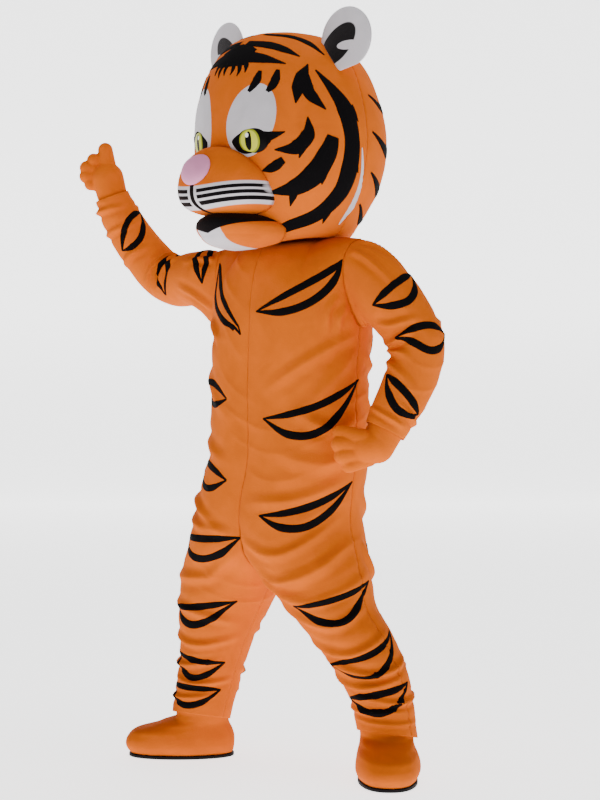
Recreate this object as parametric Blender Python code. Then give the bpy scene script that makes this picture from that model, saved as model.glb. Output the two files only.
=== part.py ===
"""Tiger costume worn whole: padded head, body suit, gloves and boot covers.

Metres, +Z up. The suit faces -Y and its own left side is +X. Heights are written
from the floor and the whole is moved down by ORIGIN_HEIGHT at the end, so the
origin is on the shoulders, where the wearer carries the suit and the head.
"""
import math

import bmesh
import bpy
import numpy as np

for old in list(bpy.data.objects):
    bpy.data.objects.remove(old, do_unlink=True)

ORIGIN_HEIGHT = 1.39
GAP = 0.0003        # between two pieces at a seam
PAD_GAP = 0.0009    # under a padded piece, where the surface below is faceted
MUZZLE_GAP = 0.0015     # the same under the muzzle, the largest of them
CLOTH = 0.003       # plush on its backing
FOAM = 0.010        # head wall, foam under plush
QUARTER = math.pi / 2

COLOURS = {
    "orange_plush": (0.62, 0.17, 0.035),
    "white_plush": (0.62, 0.59, 0.62),
    "pink_plush": (0.66, 0.40, 0.52),
    "eye_fabric": (0.62, 0.60, 0.10),
    "sole_rubber": (0.012, 0.012, 0.012),
}

# One side of the suit is a tube: at each height an ellipse with its centre and
# half sizes. Above the crotch the two tubes overlap and each stops at the
# middle plane. Columns: height, centre x, centre y, half width, half depth.
TORSO = (
    # height, middle x, centre off the middle, half width, half depth
    (0.500, -0.058, 0.145, 0.145, 0.140),
    (0.568, -0.052, 0.095, 0.170, 0.160),
    (0.647, -0.050, 0.066, 0.180, 0.163),
    (0.700, -0.042, 0.055, 0.185, 0.165),
    (0.813, -0.014, 0.043, 0.184, 0.165),
    (0.920, -0.010, 0.034, 0.190, 0.166),
    (1.020, -0.009, 0.030, 0.195, 0.168),
    (1.090, -0.004, 0.030, 0.196, 0.170),
    (1.150, 0.000, 0.030, 0.197, 0.170),
)
LEGS = {
    1: (
        (0.108, 0.262, 0.068, 0.077, 0.078),
        (0.140, 0.258, 0.064, 0.078, 0.079),
        (0.182, 0.2525, 0.060, 0.080, 0.081),
        (0.236, 0.2400, 0.050, 0.086, 0.087),
        (0.300, 0.2120, 0.038, 0.098, 0.099),
        (0.360, 0.1780, 0.022, 0.107, 0.108),
        (0.440, 0.1200, 0.004, 0.121, 0.122),
    ),
    -1: (
        (0.108, -0.286, -0.042, 0.077, 0.078),
        (0.140, -0.282, -0.039, 0.079, 0.080),
        (0.189, -0.273, -0.031, 0.083, 0.084),
        (0.246, -0.264, -0.023, 0.087, 0.088),
        (0.300, -0.256, -0.017, 0.096, 0.097),
        (0.355, -0.2475, -0.010, 0.110, 0.111),
        (0.440, -0.2260, 0.000, 0.130, 0.132),
    ),
}
CROTCH = 0.500
UNDERARM = 1.150
HEM_RISE = 0.016         # the hem lies this much higher on the instep than at the side
HEM_FADE = 0.20          # and this rise is gone this far above the hem
NECK_WIDTH = 0.098
NECK_DEPTH = (0.086, 0.074)     # front, back
NECK_HEIGHT = (1.369, 1.376, 1.372)   # front, side, back
NECK_SHARE = 0.42        # share of a panel's top edge that is neckline
SHOULDER = (0.230, 0.0, 1.372)
ARMHOLE_OPEN = 0.060     # each side of the armhole's middle
ARMHOLE_SCOOP = 0.012
ARMHOLE_GAP = 0.0009

# Sleeve stations: x, y, height, radius to the top, radius to the front.
SLEEVES = {
    1: (
        (0.236, 0.000, 1.262, 0.100, 0.070),
        (0.264, 0.004, 1.252, 0.092, 0.073),
        (0.300, 0.016, 1.222, 0.083, 0.076),
        (0.335, 0.032, 1.175, 0.075, 0.074),
        (0.368, 0.046, 1.110, 0.071, 0.071),
        (0.372, 0.032, 1.040, 0.066, 0.067),
        (0.358, 0.002, 0.970, 0.062, 0.062),
        (0.342, -0.020, 0.920, 0.057, 0.057),
        (0.331, -0.034, 0.885, 0.051, 0.051),
    ),
    -1: (
        (-0.236, 0.000, 1.262, 0.100, 0.070),
        (-0.268, 0.005, 1.266, 0.093, 0.074),
        (-0.312, 0.014, 1.288, 0.082, 0.076),
        (-0.380, 0.035, 1.302, 0.074, 0.073),
        (-0.460, 0.054, 1.300, 0.069, 0.070),
        (-0.530, 0.055, 1.325, 0.067, 0.068),
        (-0.575, 0.030, 1.383, 0.062, 0.064),
        (-0.600, -0.005, 1.442, 0.058, 0.059),
        (-0.618, -0.038, 1.505, 0.053, 0.053),
        (-0.626, -0.050, 1.543, 0.048, 0.048),
    ),
}
SLEEVE_BLEND = 0.34      # share of the sleeve in which the armhole turns round

# Head profile from the neck opening to the crown: share of the full girth, height.
HEAD_PROFILE = (
    (0.530, 1.3806), (0.640, 1.3912), (0.730, 1.4250), (0.830, 1.4650),
    (0.925, 1.5150), (0.985, 1.5780), (1.010, 1.6450), (0.985, 1.7100),
    (0.920, 1.7700), (0.835, 1.8220), (0.715, 1.8640), (0.560, 1.8960),
    (0.300, 1.9200), (0.000, 1.9270),
)
HEAD_WIDTH = 0.262
HEAD_DEPTH = 0.240
HEAD_CENTRE = (-0.008, 0.0)
HEAD_DIP = 0.017          # the neck edge hangs this much lower under the chin
HEAD_DIP_TOP = (1.465, 0.085)   # height where the dip is gone, and over what height
HEAD_TURN = math.radians(-8)
HEAD_LEAN = math.tan(math.radians(4.5))     # the crown sags to the suit's left,
LEAN_FADE = (1.420, 1.600)                  # from none to all of it between these heights
FACE_EDGE = math.radians(97)

# Padded pieces on the head: centre x, height, half width, half height, thickness at
# the middle, two powers that set how full and how steep it is, how much the half
# width and the thickness grow towards the lower edge, and the power of the outline's
# lower half, where 2 is an oval and more is squarer.
PADS = {
    "muzzle": (0.000, 1.518, 0.130, 0.088, 0.103, 4.4, 0.40, 0.07, 0.48, 3.0),
    "jaw": (0.000, 1.387, 0.124, 0.038, 0.120, 3.0, 0.50, 0.0, 0.0, 2.4),
    "eye": (0.104, 1.619, 0.042, 0.031, 0.006, 2.2, 0.60, 0.0, 0.0, 2.0),
}
NOSE = (0.000, 1.541, 0.051, 0.040, 0.020, 2.6, 0.55, 0.0, -0.25, 2.0)
JAW_BACK = -0.120        # the jaw reaches back this far below the head's edge,
JAW_LOW = 1.380          # which is about this high under the chin
JAW_CLEAR = 0.0010          # further off the head, which is faceted
EAR_CENTRE = (0.236, 1.896)
EAR_PLACE = -0.030        # the ears stand this far ahead of the head's middle
EAR_RADIUS = (0.081, 0.080)
EAR_ARC = (math.radians(192), math.radians(-62))
EAR_BASE = (1.876, 1.812)     # heights of the base on the head, inner and outer
EAR_PAD = 0.011
EAR_CUP = 0.012
EAR_SEAT = 0.0000          # off the faceted head, outward and up
EAR_OUT = math.tan(math.radians(5))

# Boot rings along the foot: height, toe, heel, half width.
BOOT_RINGS = (
    (0.0085, 0.195, -0.082, 0.072),
    (0.0300, 0.207, -0.086, 0.081),
    (0.0520, 0.202, -0.086, 0.081),
    (0.0720, 0.180, -0.080, 0.076),
    (0.0900, 0.116, -0.0710, 0.0690),
    (0.1060, 0.0740, -0.0680, 0.0675),
    (0.1240, 0.0692, -0.0692, 0.0692),
    (0.1500, 0.0660, -0.0660, 0.0660),
    (0.1850, 0.0600, -0.0600, 0.0580),
)
SOLE_THICK = 0.008
SOLE_OUT = 0.004
# Feet: x and y of the ankle, and how far the toes turn out.
FEET = {1: (0.2605, 0.067, math.radians(39)), -1: (-0.2838, -0.0405, math.radians(-50))}

# Gloves: rounded limbs from a start to an end, with a radius at each.
GLOVES = {
    -1: (
        ((-0.6236, -0.0465, 1.5318), (-0.6345, -0.0585, 1.594), 0.0419, 0.045),
        ((-0.634, -0.058, 1.610), (-0.641, -0.062, 1.675), 0.027, 0.021),
        ((-0.646, -0.048, 1.640), (-0.664, -0.086, 1.646), 0.021, 0.019),
        ((-0.652, -0.052, 1.619), (-0.680, -0.098, 1.624), 0.022, 0.020),
        ((-0.652, -0.056, 1.597), (-0.681, -0.098, 1.600), 0.022, 0.020),
        ((-0.646, -0.058, 1.577), (-0.672, -0.090, 1.578), 0.020, 0.018),
    ),
    1: (
        ((0.3344, -0.0297, 0.8957), (0.318, -0.050, 0.848), 0.0462, 0.044),
        ((0.3180, -0.0520, 0.8500), (0.298, -0.074, 0.846), 0.044, 0.043),
        ((0.302, -0.090, 0.868), (0.258, -0.118, 0.880), 0.024, 0.021),
        ((0.300, -0.076, 0.850), (0.262, -0.128, 0.852), 0.026, 0.022),
        ((0.300, -0.070, 0.832), (0.268, -0.124, 0.824), 0.026, 0.022),
        ((0.302, -0.064, 0.818), (0.276, -0.110, 0.800), 0.022, 0.019),
    ),
}
GLOVE_WALL = 0.003


def unit(v):
    return v / np.maximum(np.linalg.norm(v, axis=-1, keepdims=True), 1e-12)


def curve(rows, at):
    """Smooth curve through a table; the first column is the place along it."""
    rows = np.asarray(rows, float)
    key, val = rows[:, 0], rows[:, 1:]
    slope = np.gradient(val, key, axis=0)
    at = np.clip(np.asarray(at, float), key[0], key[-1])
    i = np.clip(np.searchsorted(key, at, side="right") - 1, 0, len(key) - 2)
    step = (key[i + 1] - key[i])[..., None]
    t = (at - key[i])[..., None] / step
    return ((2 * t**3 - 3 * t**2 + 1) * val[i] + (t**3 - 2 * t**2 + t) * step * slope[i]
            + (3 * t**2 - 2 * t**3) * val[i + 1] + (t**3 - t**2) * step * slope[i + 1])


def side_rows(side):
    """The tube of one side: height, centre x, centre y, half width, half depth."""
    torso = [(z, m + side * c, 0.0, a, b) for z, m, c, a, b in TORSO]
    return list(LEGS[side]) + torso


def tube_point(side, angle, height):
    """Point of one side's tube. Angle 0 is the outer side, -90 degrees the front."""
    cx, cy, a, b = np.moveaxis(curve(side_rows(side), height), -1, 0)
    fade = np.clip(1 - (height - LEGS[side][0][0]) / HEM_FADE, 0, 1) ** 2
    return np.stack([cx + side * a * np.cos(angle), cy + b * np.sin(angle),
                     height - HEM_RISE * fade * np.sin(angle)], -1)


def first_angle(side, height):
    """How far round from the outer side the tube's inner edge is, in radians."""
    cx, cy, a, b = np.moveaxis(curve(side_rows(side), height), -1, 0)
    other = curve(side_rows(-side), height)[..., 0]
    off = (cx - other) / 2 * side
    edge = np.arccos(np.clip(-off / a, -1, 1))
    return np.where(height > CROTCH + 1e-6, edge, math.pi)


def top_edge(k, side, front):
    """Neckline, then shoulder seam, from the centre line (k 0) to the armhole (k 1)."""
    face = -1 if front else 1
    n = np.clip(k / NECK_SHARE, 0, 1) * QUARTER
    depth = NECK_DEPTH[0 if front else 1]
    low = NECK_HEIGHT[0 if front else 2]
    neck = np.stack([side * NECK_WIDTH * np.sin(n), face * depth * np.cos(n),
                     low + (NECK_HEIGHT[1] - low) * (1 - np.cos(n))], -1)
    s = np.clip((k - NECK_SHARE) / (1 - NECK_SHARE), 0, 1)[..., None]
    start = np.array([side * NECK_WIDTH, 0, NECK_HEIGHT[1]])
    end = np.array([side * SHOULDER[0], SHOULDER[1], SHOULDER[2]])
    seam = start + (end - start) * s + np.array([0, 0, 0.006]) * np.sin(math.pi * s)
    return np.where((k < NECK_SHARE)[..., None], neck, seam)


def panel_point(side, front, k, w):
    """Point of a suit panel. k runs from the centre line to the side seam; w is the
    height up to the underarm, and past it one more unit reaches the shoulder."""
    k, w = np.broadcast_arrays(np.asarray(k, float), np.asarray(w, float))
    face = -1 if front else 1
    height = np.minimum(w, UNDERARM)
    inner = first_angle(side, height)
    body = tube_point(side, face * inner * (1 - k), height)
    v = np.clip(w - UNDERARM, 0, 1)
    top = top_edge(k, side, front)
    go = (1 - np.cos(v * QUARTER))[..., None]
    flat = body[..., :2] + (top[..., :2] - body[..., :2]) * go
    rise = body[..., 2] + (top[..., 2] - body[..., 2]) * np.sin(v * QUARTER)
    open_it = np.sin(math.pi * v**0.85) * np.clip(k, 0, 1) ** 4
    shift = np.stack([-side * ARMHOLE_SCOOP * open_it, face * ARMHOLE_OPEN * open_it], -1)
    return np.concatenate([flat + shift, rise[..., None]], -1)


def panel_normal(side, front, k, w):
    """Outward normal of a panel, taken at a fixed angle round the tube."""
    k, w = np.broadcast_arrays(np.asarray(k, float), np.asarray(w, float))
    face = -1 if front else 1
    e = 1e-4
    height = np.minimum(w, UNDERARM)
    angle = face * first_angle(side, height) * (1 - k)
    low = np.clip(height, LEGS[side][0][0] + e, UNDERARM - e)
    round_it = tube_point(side, angle + e, low) - tube_point(side, angle - e, low)
    up = tube_point(side, angle, low + e) - tube_point(side, angle, low - e)
    tube = unit(np.cross(round_it, up)) * side
    v = np.clip(w, UNDERARM + 0.02, UNDERARM + 0.97)
    kk = np.clip(k, 0.02, 0.98)
    across = panel_point(side, front, kk + e, v) - panel_point(side, front, kk - e, v)
    rise = panel_point(side, front, kk, v + e) - panel_point(side, front, kk, v - e)
    yoke = unit(np.cross(across, rise)) * side * -face
    mix = np.clip((w - UNDERARM) / 0.15, 0, 1)[..., None]
    normal = unit(tube * (1 - mix) + yoke * mix)
    # On the shoulder seam both panels' walls stand square to the seam.
    on_seam = np.where(k > NECK_SHARE - 1e-6, np.clip((w - UNDERARM - 0.6) / 0.4, 0, 1), 0)
    return unit(normal * np.stack([0 * k + 1, 1 - on_seam, 0 * k + 1], -1))


def armhole(side, count, wall):
    """Edge of the armhole as a ring from the top, by the front, the bottom and the
    back. Gives the edge points at this wall depth and the way from them to the sleeve."""
    v = np.linspace(1, 0, count // 2 + 1)
    rings = []
    for front, vv in ((True, v[:-1]), (False, v[::-1][:-1])):
        w = UNDERARM + vv
        one = np.ones_like(w)
        p = panel_point(side, front, one, w)
        rings.append(p - panel_normal(side, front, one, w) * wall)
    ring = np.concatenate(rings)
    low = (1 - np.cos(np.arange(count) / count * 2 * math.pi))[:, None] / 2
    inward = unit(ring.mean(axis=0) - ring)
    return ring, unit(inward * low + np.array([side, 0, 0.0]))


def sleeve_point(side, turn, s, wall):
    """Point of a sleeve: turn is the ring angle (0 on top, 90 degrees in front) and
    s runs from the armhole (0) to the cuff (1)."""
    rows = np.array(SLEEVES[side])
    place = np.linspace(0, 1, len(rows))
    table = np.column_stack([place, rows])
    centre = curve(table, s)
    e = 1e-3
    ahead = curve(table, np.clip(s + e, 0, 1))[..., :3]
    behind = curve(table, np.clip(s - e, 0, 1))[..., :3]
    along = unit(ahead - behind)
    front = np.array([0, -1.0, 0])
    up = unit(np.cross(front, along)) * side
    fore = unit(np.cross(along, up)) * side
    ru = (centre[..., 3] - wall)[..., None]
    rf = (centre[..., 4] - wall)[..., None]
    ring = centre[..., :3] + ru * np.cos(turn)[..., None] * up + rf * np.sin(turn)[..., None] * fore
    return ring


def sleeve_grid(side, rows, count, wall):
    """Rings of a sleeve; the first follows the armhole and they turn round from it."""
    turn = np.arange(count) / count * 2 * math.pi
    edge, way = armhole(side, count, wall)
    s = np.linspace(0, 1, rows)
    ring = sleeve_point(side, turn[None, :] + 0 * s[:, None], s[:, None] + 0 * turn[None, :], wall)
    first = edge + way * ARMHOLE_GAP
    travel = ring.mean(axis=1) - ring[0].mean(axis=0)
    moved = first[None] + travel[:, None]
    mix = np.clip(s / SLEEVE_BLEND, 0, 1)
    mix = (mix * mix * (3 - 2 * mix))[:, None, None]
    return moved * (1 - mix) + ring * mix


def head_ring(t):
    """Girth share and height of the head profile at t, from 0 (neck) to 1 (crown)."""
    rows = np.array(HEAD_PROFILE)
    place = np.linspace(0, 1, len(rows))
    return np.moveaxis(curve(np.column_stack([place, rows]), t), -1, 0)


def head_dip(facing, z):
    """How much lower the head's neck edge is; facing is 1 straight ahead and 0 at the side."""
    top, over = HEAD_DIP_TOP
    return HEAD_DIP * facing * np.clip((top - z) / over, 0, 1) ** 2


def head_local(angle, t, wall=0.0):
    """Point of the head in its own frame. Angle 0 is the face, positive to its left."""
    def at(ang, tt):
        r, z = head_ring(tt)
        r = np.maximum(r, 0)
        z = z - head_dip(np.maximum(np.cos(ang), 0) ** 2, z)
        return np.stack([HEAD_WIDTH * r * np.sin(ang), -HEAD_DEPTH * r * np.cos(ang), z], -1)
    p = at(angle, t)
    if wall == 0:
        return p
    e = 1e-4
    tt = np.clip(t, e, 1 - 2e-3)
    n = unit(np.cross(at(angle + e, tt) - at(angle - e, tt), at(angle, tt + e) - at(angle, tt - e)))
    n = np.where((t > 0.998)[..., None], np.array([0, 0, 1.0]), n)
    return p - n * wall


def head_front(x, z):
    """How far forward the head's surface is at this x and height, in its own frame."""
    t = np.linspace(0, 1, 400)
    r, zz = head_ring(t)
    level = z
    for _ in range(10):
        share = np.interp(level, zz, r)
        facing = np.maximum(1 - (x / (HEAD_WIDTH * share)) ** 2, 0)
        level = z + head_dip(facing, level)
    share = np.interp(level, zz, r)
    return -HEAD_DEPTH * np.sqrt(np.maximum(share**2 - (x / HEAD_WIDTH) ** 2, 0.0))


def place_head(p):
    """From the head's own frame to the suit's: turned, and leaning to one side."""
    c, s = math.cos(HEAD_TURN), math.sin(HEAD_TURN)
    x, y, z = p[..., 0], p[..., 1], p[..., 2]
    share = np.clip((z - LEAN_FADE[0]) / (LEAN_FADE[1] - LEAN_FADE[0]), 0, 1)
    z = z - HEAD_LEAN * x * share * share * (3 - 2 * share)
    return np.stack([x * c - y * s + HEAD_CENTRE[0], x * s + y * c + HEAD_CENTRE[1], z], -1)


def pad_height(rho, thick, full, steep):
    return thick * np.maximum(1 - rho**full, 0) ** steep


def outline(across, up, square):
    """Share of the way from a pad's middle to its rim: an oval above, squarer below."""
    power = np.where(up < 0, square, 2.0)
    return (np.abs(across) ** power + np.abs(up) ** power) ** (1 / power)


def muzzle_front(x, z):
    """How far forward the muzzle's surface is at this x and height."""
    cx, cz, hw, hh, thick, full, steep, flare, lean, square = PADS["muzzle"]
    up = (z - cz) / hh
    rho = outline(np.abs(x - cx) / (hw * (1 - flare * up)), up, square)
    return head_front(x, z) - MUZZLE_GAP - pad_height(rho, thick * (1 - lean * up), full, steep)


def pad_grid(row, base, rows, count, gap):
    """A padded piece lying on a surface: front from its middle to the rim, then the
    back to its middle, each row a closed ring."""
    cx, cz, hw, hh, thick, full, steep, flare, lean, square = row
    rho = np.sin(np.linspace(0, 1, rows) * QUARTER)
    turn = np.arange(count) / count * 2 * math.pi
    out = []
    for level, lift in [(r, 1.0) for r in rho] + [(r, 0.0) for r in rho[::-1][1:]]:
        reach = level / outline(np.cos(turn), np.sin(turn), square)
        up = reach * np.sin(turn)
        x = cx + hw * (1 - flare * up) * reach * np.cos(turn)
        z = cz + hh * up
        deep = thick * (1 - lean * up)
        y = base(x, z) - gap - lift * pad_height(np.full_like(x, level), deep, full, steep)
        out.append(np.stack([x, y, z], -1))
    return np.array(out)


def ear_grid(side, columns, rows):
    """A padded ear: each column is a loop, front from the base to the rim and back."""
    k = np.linspace(0, 1, columns)
    arc = EAR_ARC[0] + (EAR_ARC[1] - EAR_ARC[0]) * k
    rim = np.stack([np.cos(arc), np.sin(arc)], -1) * EAR_RADIUS + EAR_CENTRE
    t = np.linspace(0, 1, 400)
    r, z = head_ring(t)
    height = EAR_BASE[0] + (EAR_BASE[1] - EAR_BASE[0]) * k
    share = np.interp(height, z, r)

    def base_at(y):
        reach = HEAD_WIDTH * np.sqrt(np.maximum(share**2 - (y / HEAD_DEPTH) ** 2, 0))
        return np.stack([reach, height], -1) + EAR_SEAT

    middle = base_at(EAR_PLACE)
    rim[0], rim[-1] = middle[0], middle[-1]
    full = np.sqrt(np.clip(4 * k * (1 - k), 0, 1))
    m = np.linspace(0, 1, rows)
    loops = []
    for way, steps in ((-1, m), (1, m[::-1][1:])):
        for step in steps:
            pad = EAR_PAD * full * np.sqrt(max(1 - step**3, 0))
            cup = EAR_CUP * full * math.sin(math.pi * step * 0.5)
            across = middle[:, 0] + (rim[:, 0] - middle[:, 0]) * step
            y = EAR_PLACE + (across - middle[:, 0].mean()) * EAR_OUT + way * pad + cup
            base = base_at(y) if step == 0 else middle
            xz = base + (rim - base) * step
            loops.append(np.stack([side * xz[:, 0], y, xz[:, 1]], -1))
    return np.swapaxes(np.array(loops), 0, 1)


def boot_ring(side, turn, height, out=0.0):
    """Point of a boot; turn 0 is the toe and 90 degrees the foot's own left."""
    toe, heel, half = np.moveaxis(curve(BOOT_RINGS, height), -1, 0)
    mid, reach = (toe + heel) / 2, (toe - heel) / 2 + out
    c, s = np.cos(turn), np.sin(turn)
    fore = mid + reach * np.sign(c) * np.abs(c) ** 0.90
    wide = (half + out) * np.sign(s) * np.abs(s) ** 0.84 * (1 - 0.10 * np.clip(-c, 0, 1))
    x0, y0, out_angle = FEET[side]
    way = np.array([math.sin(out_angle), -math.cos(out_angle)])
    across = np.array([-way[1], way[0]])
    flat = np.array([x0, y0]) + fore[..., None] * way + wide[..., None] * across
    return np.concatenate([flat, np.broadcast_to(height, turn.shape)[..., None]], -1)


parts = bpy.data.collections.new("tiger_mascot_costume")
bpy.context.scene.collection.children.link(parts)


def material(slot):
    mat = bpy.data.materials.get(slot)
    if mat is None:
        mat = bpy.data.materials.new(slot)
        mat.use_nodes = True
        shader = mat.node_tree.nodes["Principled BSDF"]
        shader.inputs["Base Color"].default_value = (*COLOURS[slot], 1)
        shader.inputs["Roughness"].default_value = 0.9
    return mat


def solid(name, points, faces, slot):
    """A closed body from points and faces, with repeated points joined."""
    mesh = bpy.data.meshes.new(name)
    points = np.asarray(points, float) - np.array([0, 0, ORIGIN_HEIGHT])
    mesh.from_pydata(points.tolist(), [], [list(map(int, f)) for f in faces])
    body = bmesh.new()
    body.from_mesh(mesh)
    bmesh.ops.remove_doubles(body, verts=body.verts, dist=2e-6)
    bmesh.ops.recalc_face_normals(body, faces=body.faces)
    bmesh.ops.triangulate(body, faces=body.faces)
    body.to_mesh(mesh)
    body.free()
    thing = bpy.data.objects.new(name, mesh)
    parts.objects.link(thing)
    mesh.materials.append(material(slot))
    return thing


def quads(rows, columns, closed):
    """Index quads of a grid, with its columns joined round if closed."""
    i, j = np.meshgrid(np.arange(rows - 1), np.arange(columns if closed else columns - 1), indexing="ij")
    n = (j + 1) % columns
    q = np.stack([i * columns + j, i * columns + n, (i + 1) * columns + n, (i + 1) * columns + j], -1)
    return q.reshape(-1, 4)


def wall_body(name, outer, inner, closed, slot):
    """A cloth wall: outer grid, inner grid and the rims that join them."""
    rows, columns = outer.shape[:2]
    size = rows * columns
    q = quads(rows, columns, closed)
    faces = [*q, *(q[:, ::-1] + size)]
    rim = columns if closed else columns - 1
    for j in range(rim):
        n = (j + 1) % columns
        faces.append([n, j, j + size, n + size])
        a, b = (rows - 1) * columns + j, (rows - 1) * columns + n
        faces.append([a, b, b + size, a + size])
    if not closed:
        for i in range(rows - 1):
            a, b = i * columns, (i + 1) * columns
            faces.append([a, b, b + size, a + size])
            a, b = a + columns - 1, b + columns - 1
            faces.append([b, a, a + size, b + size])
    points = np.concatenate([outer.reshape(-1, 3), inner.reshape(-1, 3)])
    return solid(name, points, faces, slot)


def ring_body(name, grid, slot, caps=False):
    """A solid skinned by closed rings; its ends are points, or flat faces with caps."""
    rows, columns = grid.shape[:2]
    faces = [*quads(rows, columns, True)]
    if caps:
        faces.append(list(range(columns))[::-1])
        faces.append([(rows - 1) * columns + j for j in range(columns)])
    return solid(name, grid.reshape(-1, 3), faces, slot)


# Suit panels. Rows are closer together where the legs part and over the shoulder.
ROWS_BODY = np.array([0.108, 0.155, 0.215, 0.285, 0.350, 0.410, 0.460, 0.490, CROTCH, 0.512,
                      0.535, 0.575, 0.640, 0.730, 0.840, 0.960, 1.070])
YOKE_STEPS = 8
COLUMNS = 10
rows_w = np.concatenate([ROWS_BODY, UNDERARM + np.linspace(0, 1, YOKE_STEPS + 1)])
for side, hand in ((1, "left"), (-1, "right")):
    for front, face in ((True, "front"), (False, "back")):
        k = np.linspace(0, 1, COLUMNS + 1)
        kk, ww = np.meshgrid(k, rows_w)
        outer = panel_point(side, front, kk, ww)
        normal = panel_normal(side, front, kk, ww)
        inner = outer - normal * CLOTH
        # Seams: the sides part on the middle plane, front and back on the side seam,
        # the inside leg and the shoulder.
        part_sides = np.array([side * GAP * 0.55, 0, 0])
        part_faces = np.array([0, (-1 if front else 1) * GAP * 0.55, 0])
        shift = part_sides + part_faces
        wall_body(f"suit_{face}_{hand}", outer + shift, inner + shift, False, "orange_plush")

# Sleeves.
SLEEVE_ROWS = 15
for side, hand in ((1, "left"), (-1, "right")):
    outer = sleeve_grid(side, SLEEVE_ROWS, 2 * YOKE_STEPS, 0.0)
    inner = sleeve_grid(side, SLEEVE_ROWS, 2 * YOKE_STEPS, CLOTH)
    shift = np.array([side * GAP, 0, 0])
    wall_body(f"sleeve_{hand}", outer + shift, inner + shift, True, "orange_plush")

# Head halves.
HEAD_ROWS = 17
profile = np.linspace(0, 1, HEAD_ROWS)
for name, start, end, count, way in (("head_face", -FACE_EDGE, FACE_EDGE, 18, -1),
                                     ("head_back", FACE_EDGE, 2 * math.pi - FACE_EDGE, 14, 1)):
    angle, t = np.meshgrid(np.linspace(start, end, count + 1), profile)
    shift = np.array([0, way * GAP * 0.6, 0])
    outer = place_head(head_local(angle, t) + shift)
    inner = place_head(head_local(angle, t, FOAM) + shift)
    wall_body(name, outer, inner, False, "orange_plush")

# Muzzle, jaw, nose and eyes.
ring_body("muzzle", place_head(pad_grid(PADS["muzzle"], head_front, 8, 24, MUZZLE_GAP)), "white_plush")


def jaw_base(x, z):
    return np.minimum(head_front(x, np.maximum(z, JAW_LOW)), JAW_BACK) - JAW_CLEAR


ring_body("jaw", place_head(pad_grid(PADS["jaw"], jaw_base, 7, 20, PAD_GAP)), "orange_plush")
ring_body("nose", place_head(pad_grid(NOSE, muzzle_front, 5, 14, PAD_GAP)), "pink_plush")
for side, hand in ((1, "left"), (-1, "right")):
    row = (side * PADS["eye"][0], *PADS["eye"][1:])
    ring_body(f"eye_{hand}", place_head(pad_grid(row, head_front, 4, 14, PAD_GAP)), "eye_fabric")
    ears = place_head(ear_grid(side, 13, 5))
    ring_body(f"ear_{hand}", ears, "white_plush")

# Boot covers and soles.
for side, hand in ((1, "left"), (-1, "right")):
    turn = np.arange(22) / 22 * 2 * math.pi
    height = np.array([row[0] for row in BOOT_RINGS])
    tt, hh = np.meshgrid(turn, height)
    outer = boot_ring(side, tt, hh)
    inner = boot_ring(side, tt, hh, -CLOTH)
    wall_body(f"boot_{hand}_upper", outer, inner, True, "orange_plush")
    flat = np.full_like(turn, BOOT_RINGS[0][0])
    edge = boot_ring(side, turn, flat, SOLE_OUT)
    low, high = edge.copy(), edge.copy()
    low[:, 2], high[:, 2] = 0.0, SOLE_THICK
    ring_body(f"boot_{hand}_sole", np.array([low, high]), "sole_rubber", caps=True)


# Gloves: the union of rounded limbs, hollowed by the same limbs made thinner.
def limb(start, end, r0, r1, rings=3, count=12):
    """A closed capsule between two points, as points and faces."""
    start, end = np.array(start), np.array(end)
    along = unit(end - start)
    side = unit(np.cross(along, [0.3, 0.9, 0.2]))
    other = np.cross(along, side)
    turn = np.arange(count) / count * 2 * math.pi
    rows = []
    for centre, r, tilts in ((start, r0, np.linspace(-QUARTER, 0, rings + 1)),
                             (end, r1, np.linspace(0, QUARTER, rings + 1))):
        for tilt in tilts:
            ring = centre + along * r * math.sin(tilt)
            rad = r * math.cos(tilt)
            rows.append(ring + rad * (np.cos(turn)[:, None] * side + np.sin(turn)[:, None] * other))
    grid = np.array(rows)
    return grid.reshape(-1, 3), quads(len(rows), count, True)


tools = bpy.data.collections.new("shaping")
bpy.context.scene.collection.children.link(tools)
tools.hide_render = True


def shaping(name, points, faces):
    thing = solid(name, points, faces, "orange_plush")
    parts.objects.unlink(thing)
    tools.objects.link(thing)
    thing.hide_render = True
    thing.display_type = "WIRE"
    return thing


def combine(base, other, how):
    mod = base.modifiers.new("shape", "BOOLEAN")
    mod.operation, mod.solver, mod.object = how, "EXACT", other
    view = bpy.context.evaluated_depsgraph_get()
    mesh = bpy.data.meshes.new_from_object(base.evaluated_get(view))
    base.modifiers.clear()
    base.data = mesh


def joined(name, limbs, less):
    """All limbs of a glove joined, each made thinner by less."""
    whole = None
    for n, (start, end, r0, r1) in enumerate(limbs):
        points, faces = limb(start, end, r0 - less, r1 - less)
        one = shaping(f"{name}_{n}", points, faces)
        if whole is None:
            whole = one
        else:
            combine(whole, one, "UNION")
    return whole


def keep_largest(body):
    """Fill the small spaces shut in between curled digits: keep the main surface."""
    left, groups = set(body.verts), []
    while left:
        group, queue = set(), [next(iter(left))]
        while queue:
            vert = queue.pop()
            if vert in group:
                continue
            group.add(vert)
            queue.extend(edge.other_vert(vert) for edge in vert.link_edges)
        groups.append(group)
        left -= group
    largest = max(groups, key=len)
    bmesh.ops.delete(body, geom=[v for v in body.verts if v not in largest], context="VERTS")


def block(name, centre, along, length, radius):
    """A cylinder that cuts the wrist open, from the centre on along its way."""
    along = unit(np.array(along, float))
    side = unit(np.cross(along, [0.3, 0.9, 0.2]))
    other = np.cross(along, side)
    turn = np.arange(16) / 16 * 2 * math.pi
    ring = np.cos(turn)[:, None] * side + np.sin(turn)[:, None] * other
    grid = np.array([np.array(centre) + ring * radius, np.array(centre) + along * length + ring * radius])
    faces = [*quads(2, 16, True), list(range(16))[::-1], list(range(16, 32))]
    return shaping(name, grid.reshape(-1, 3), faces)


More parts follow.
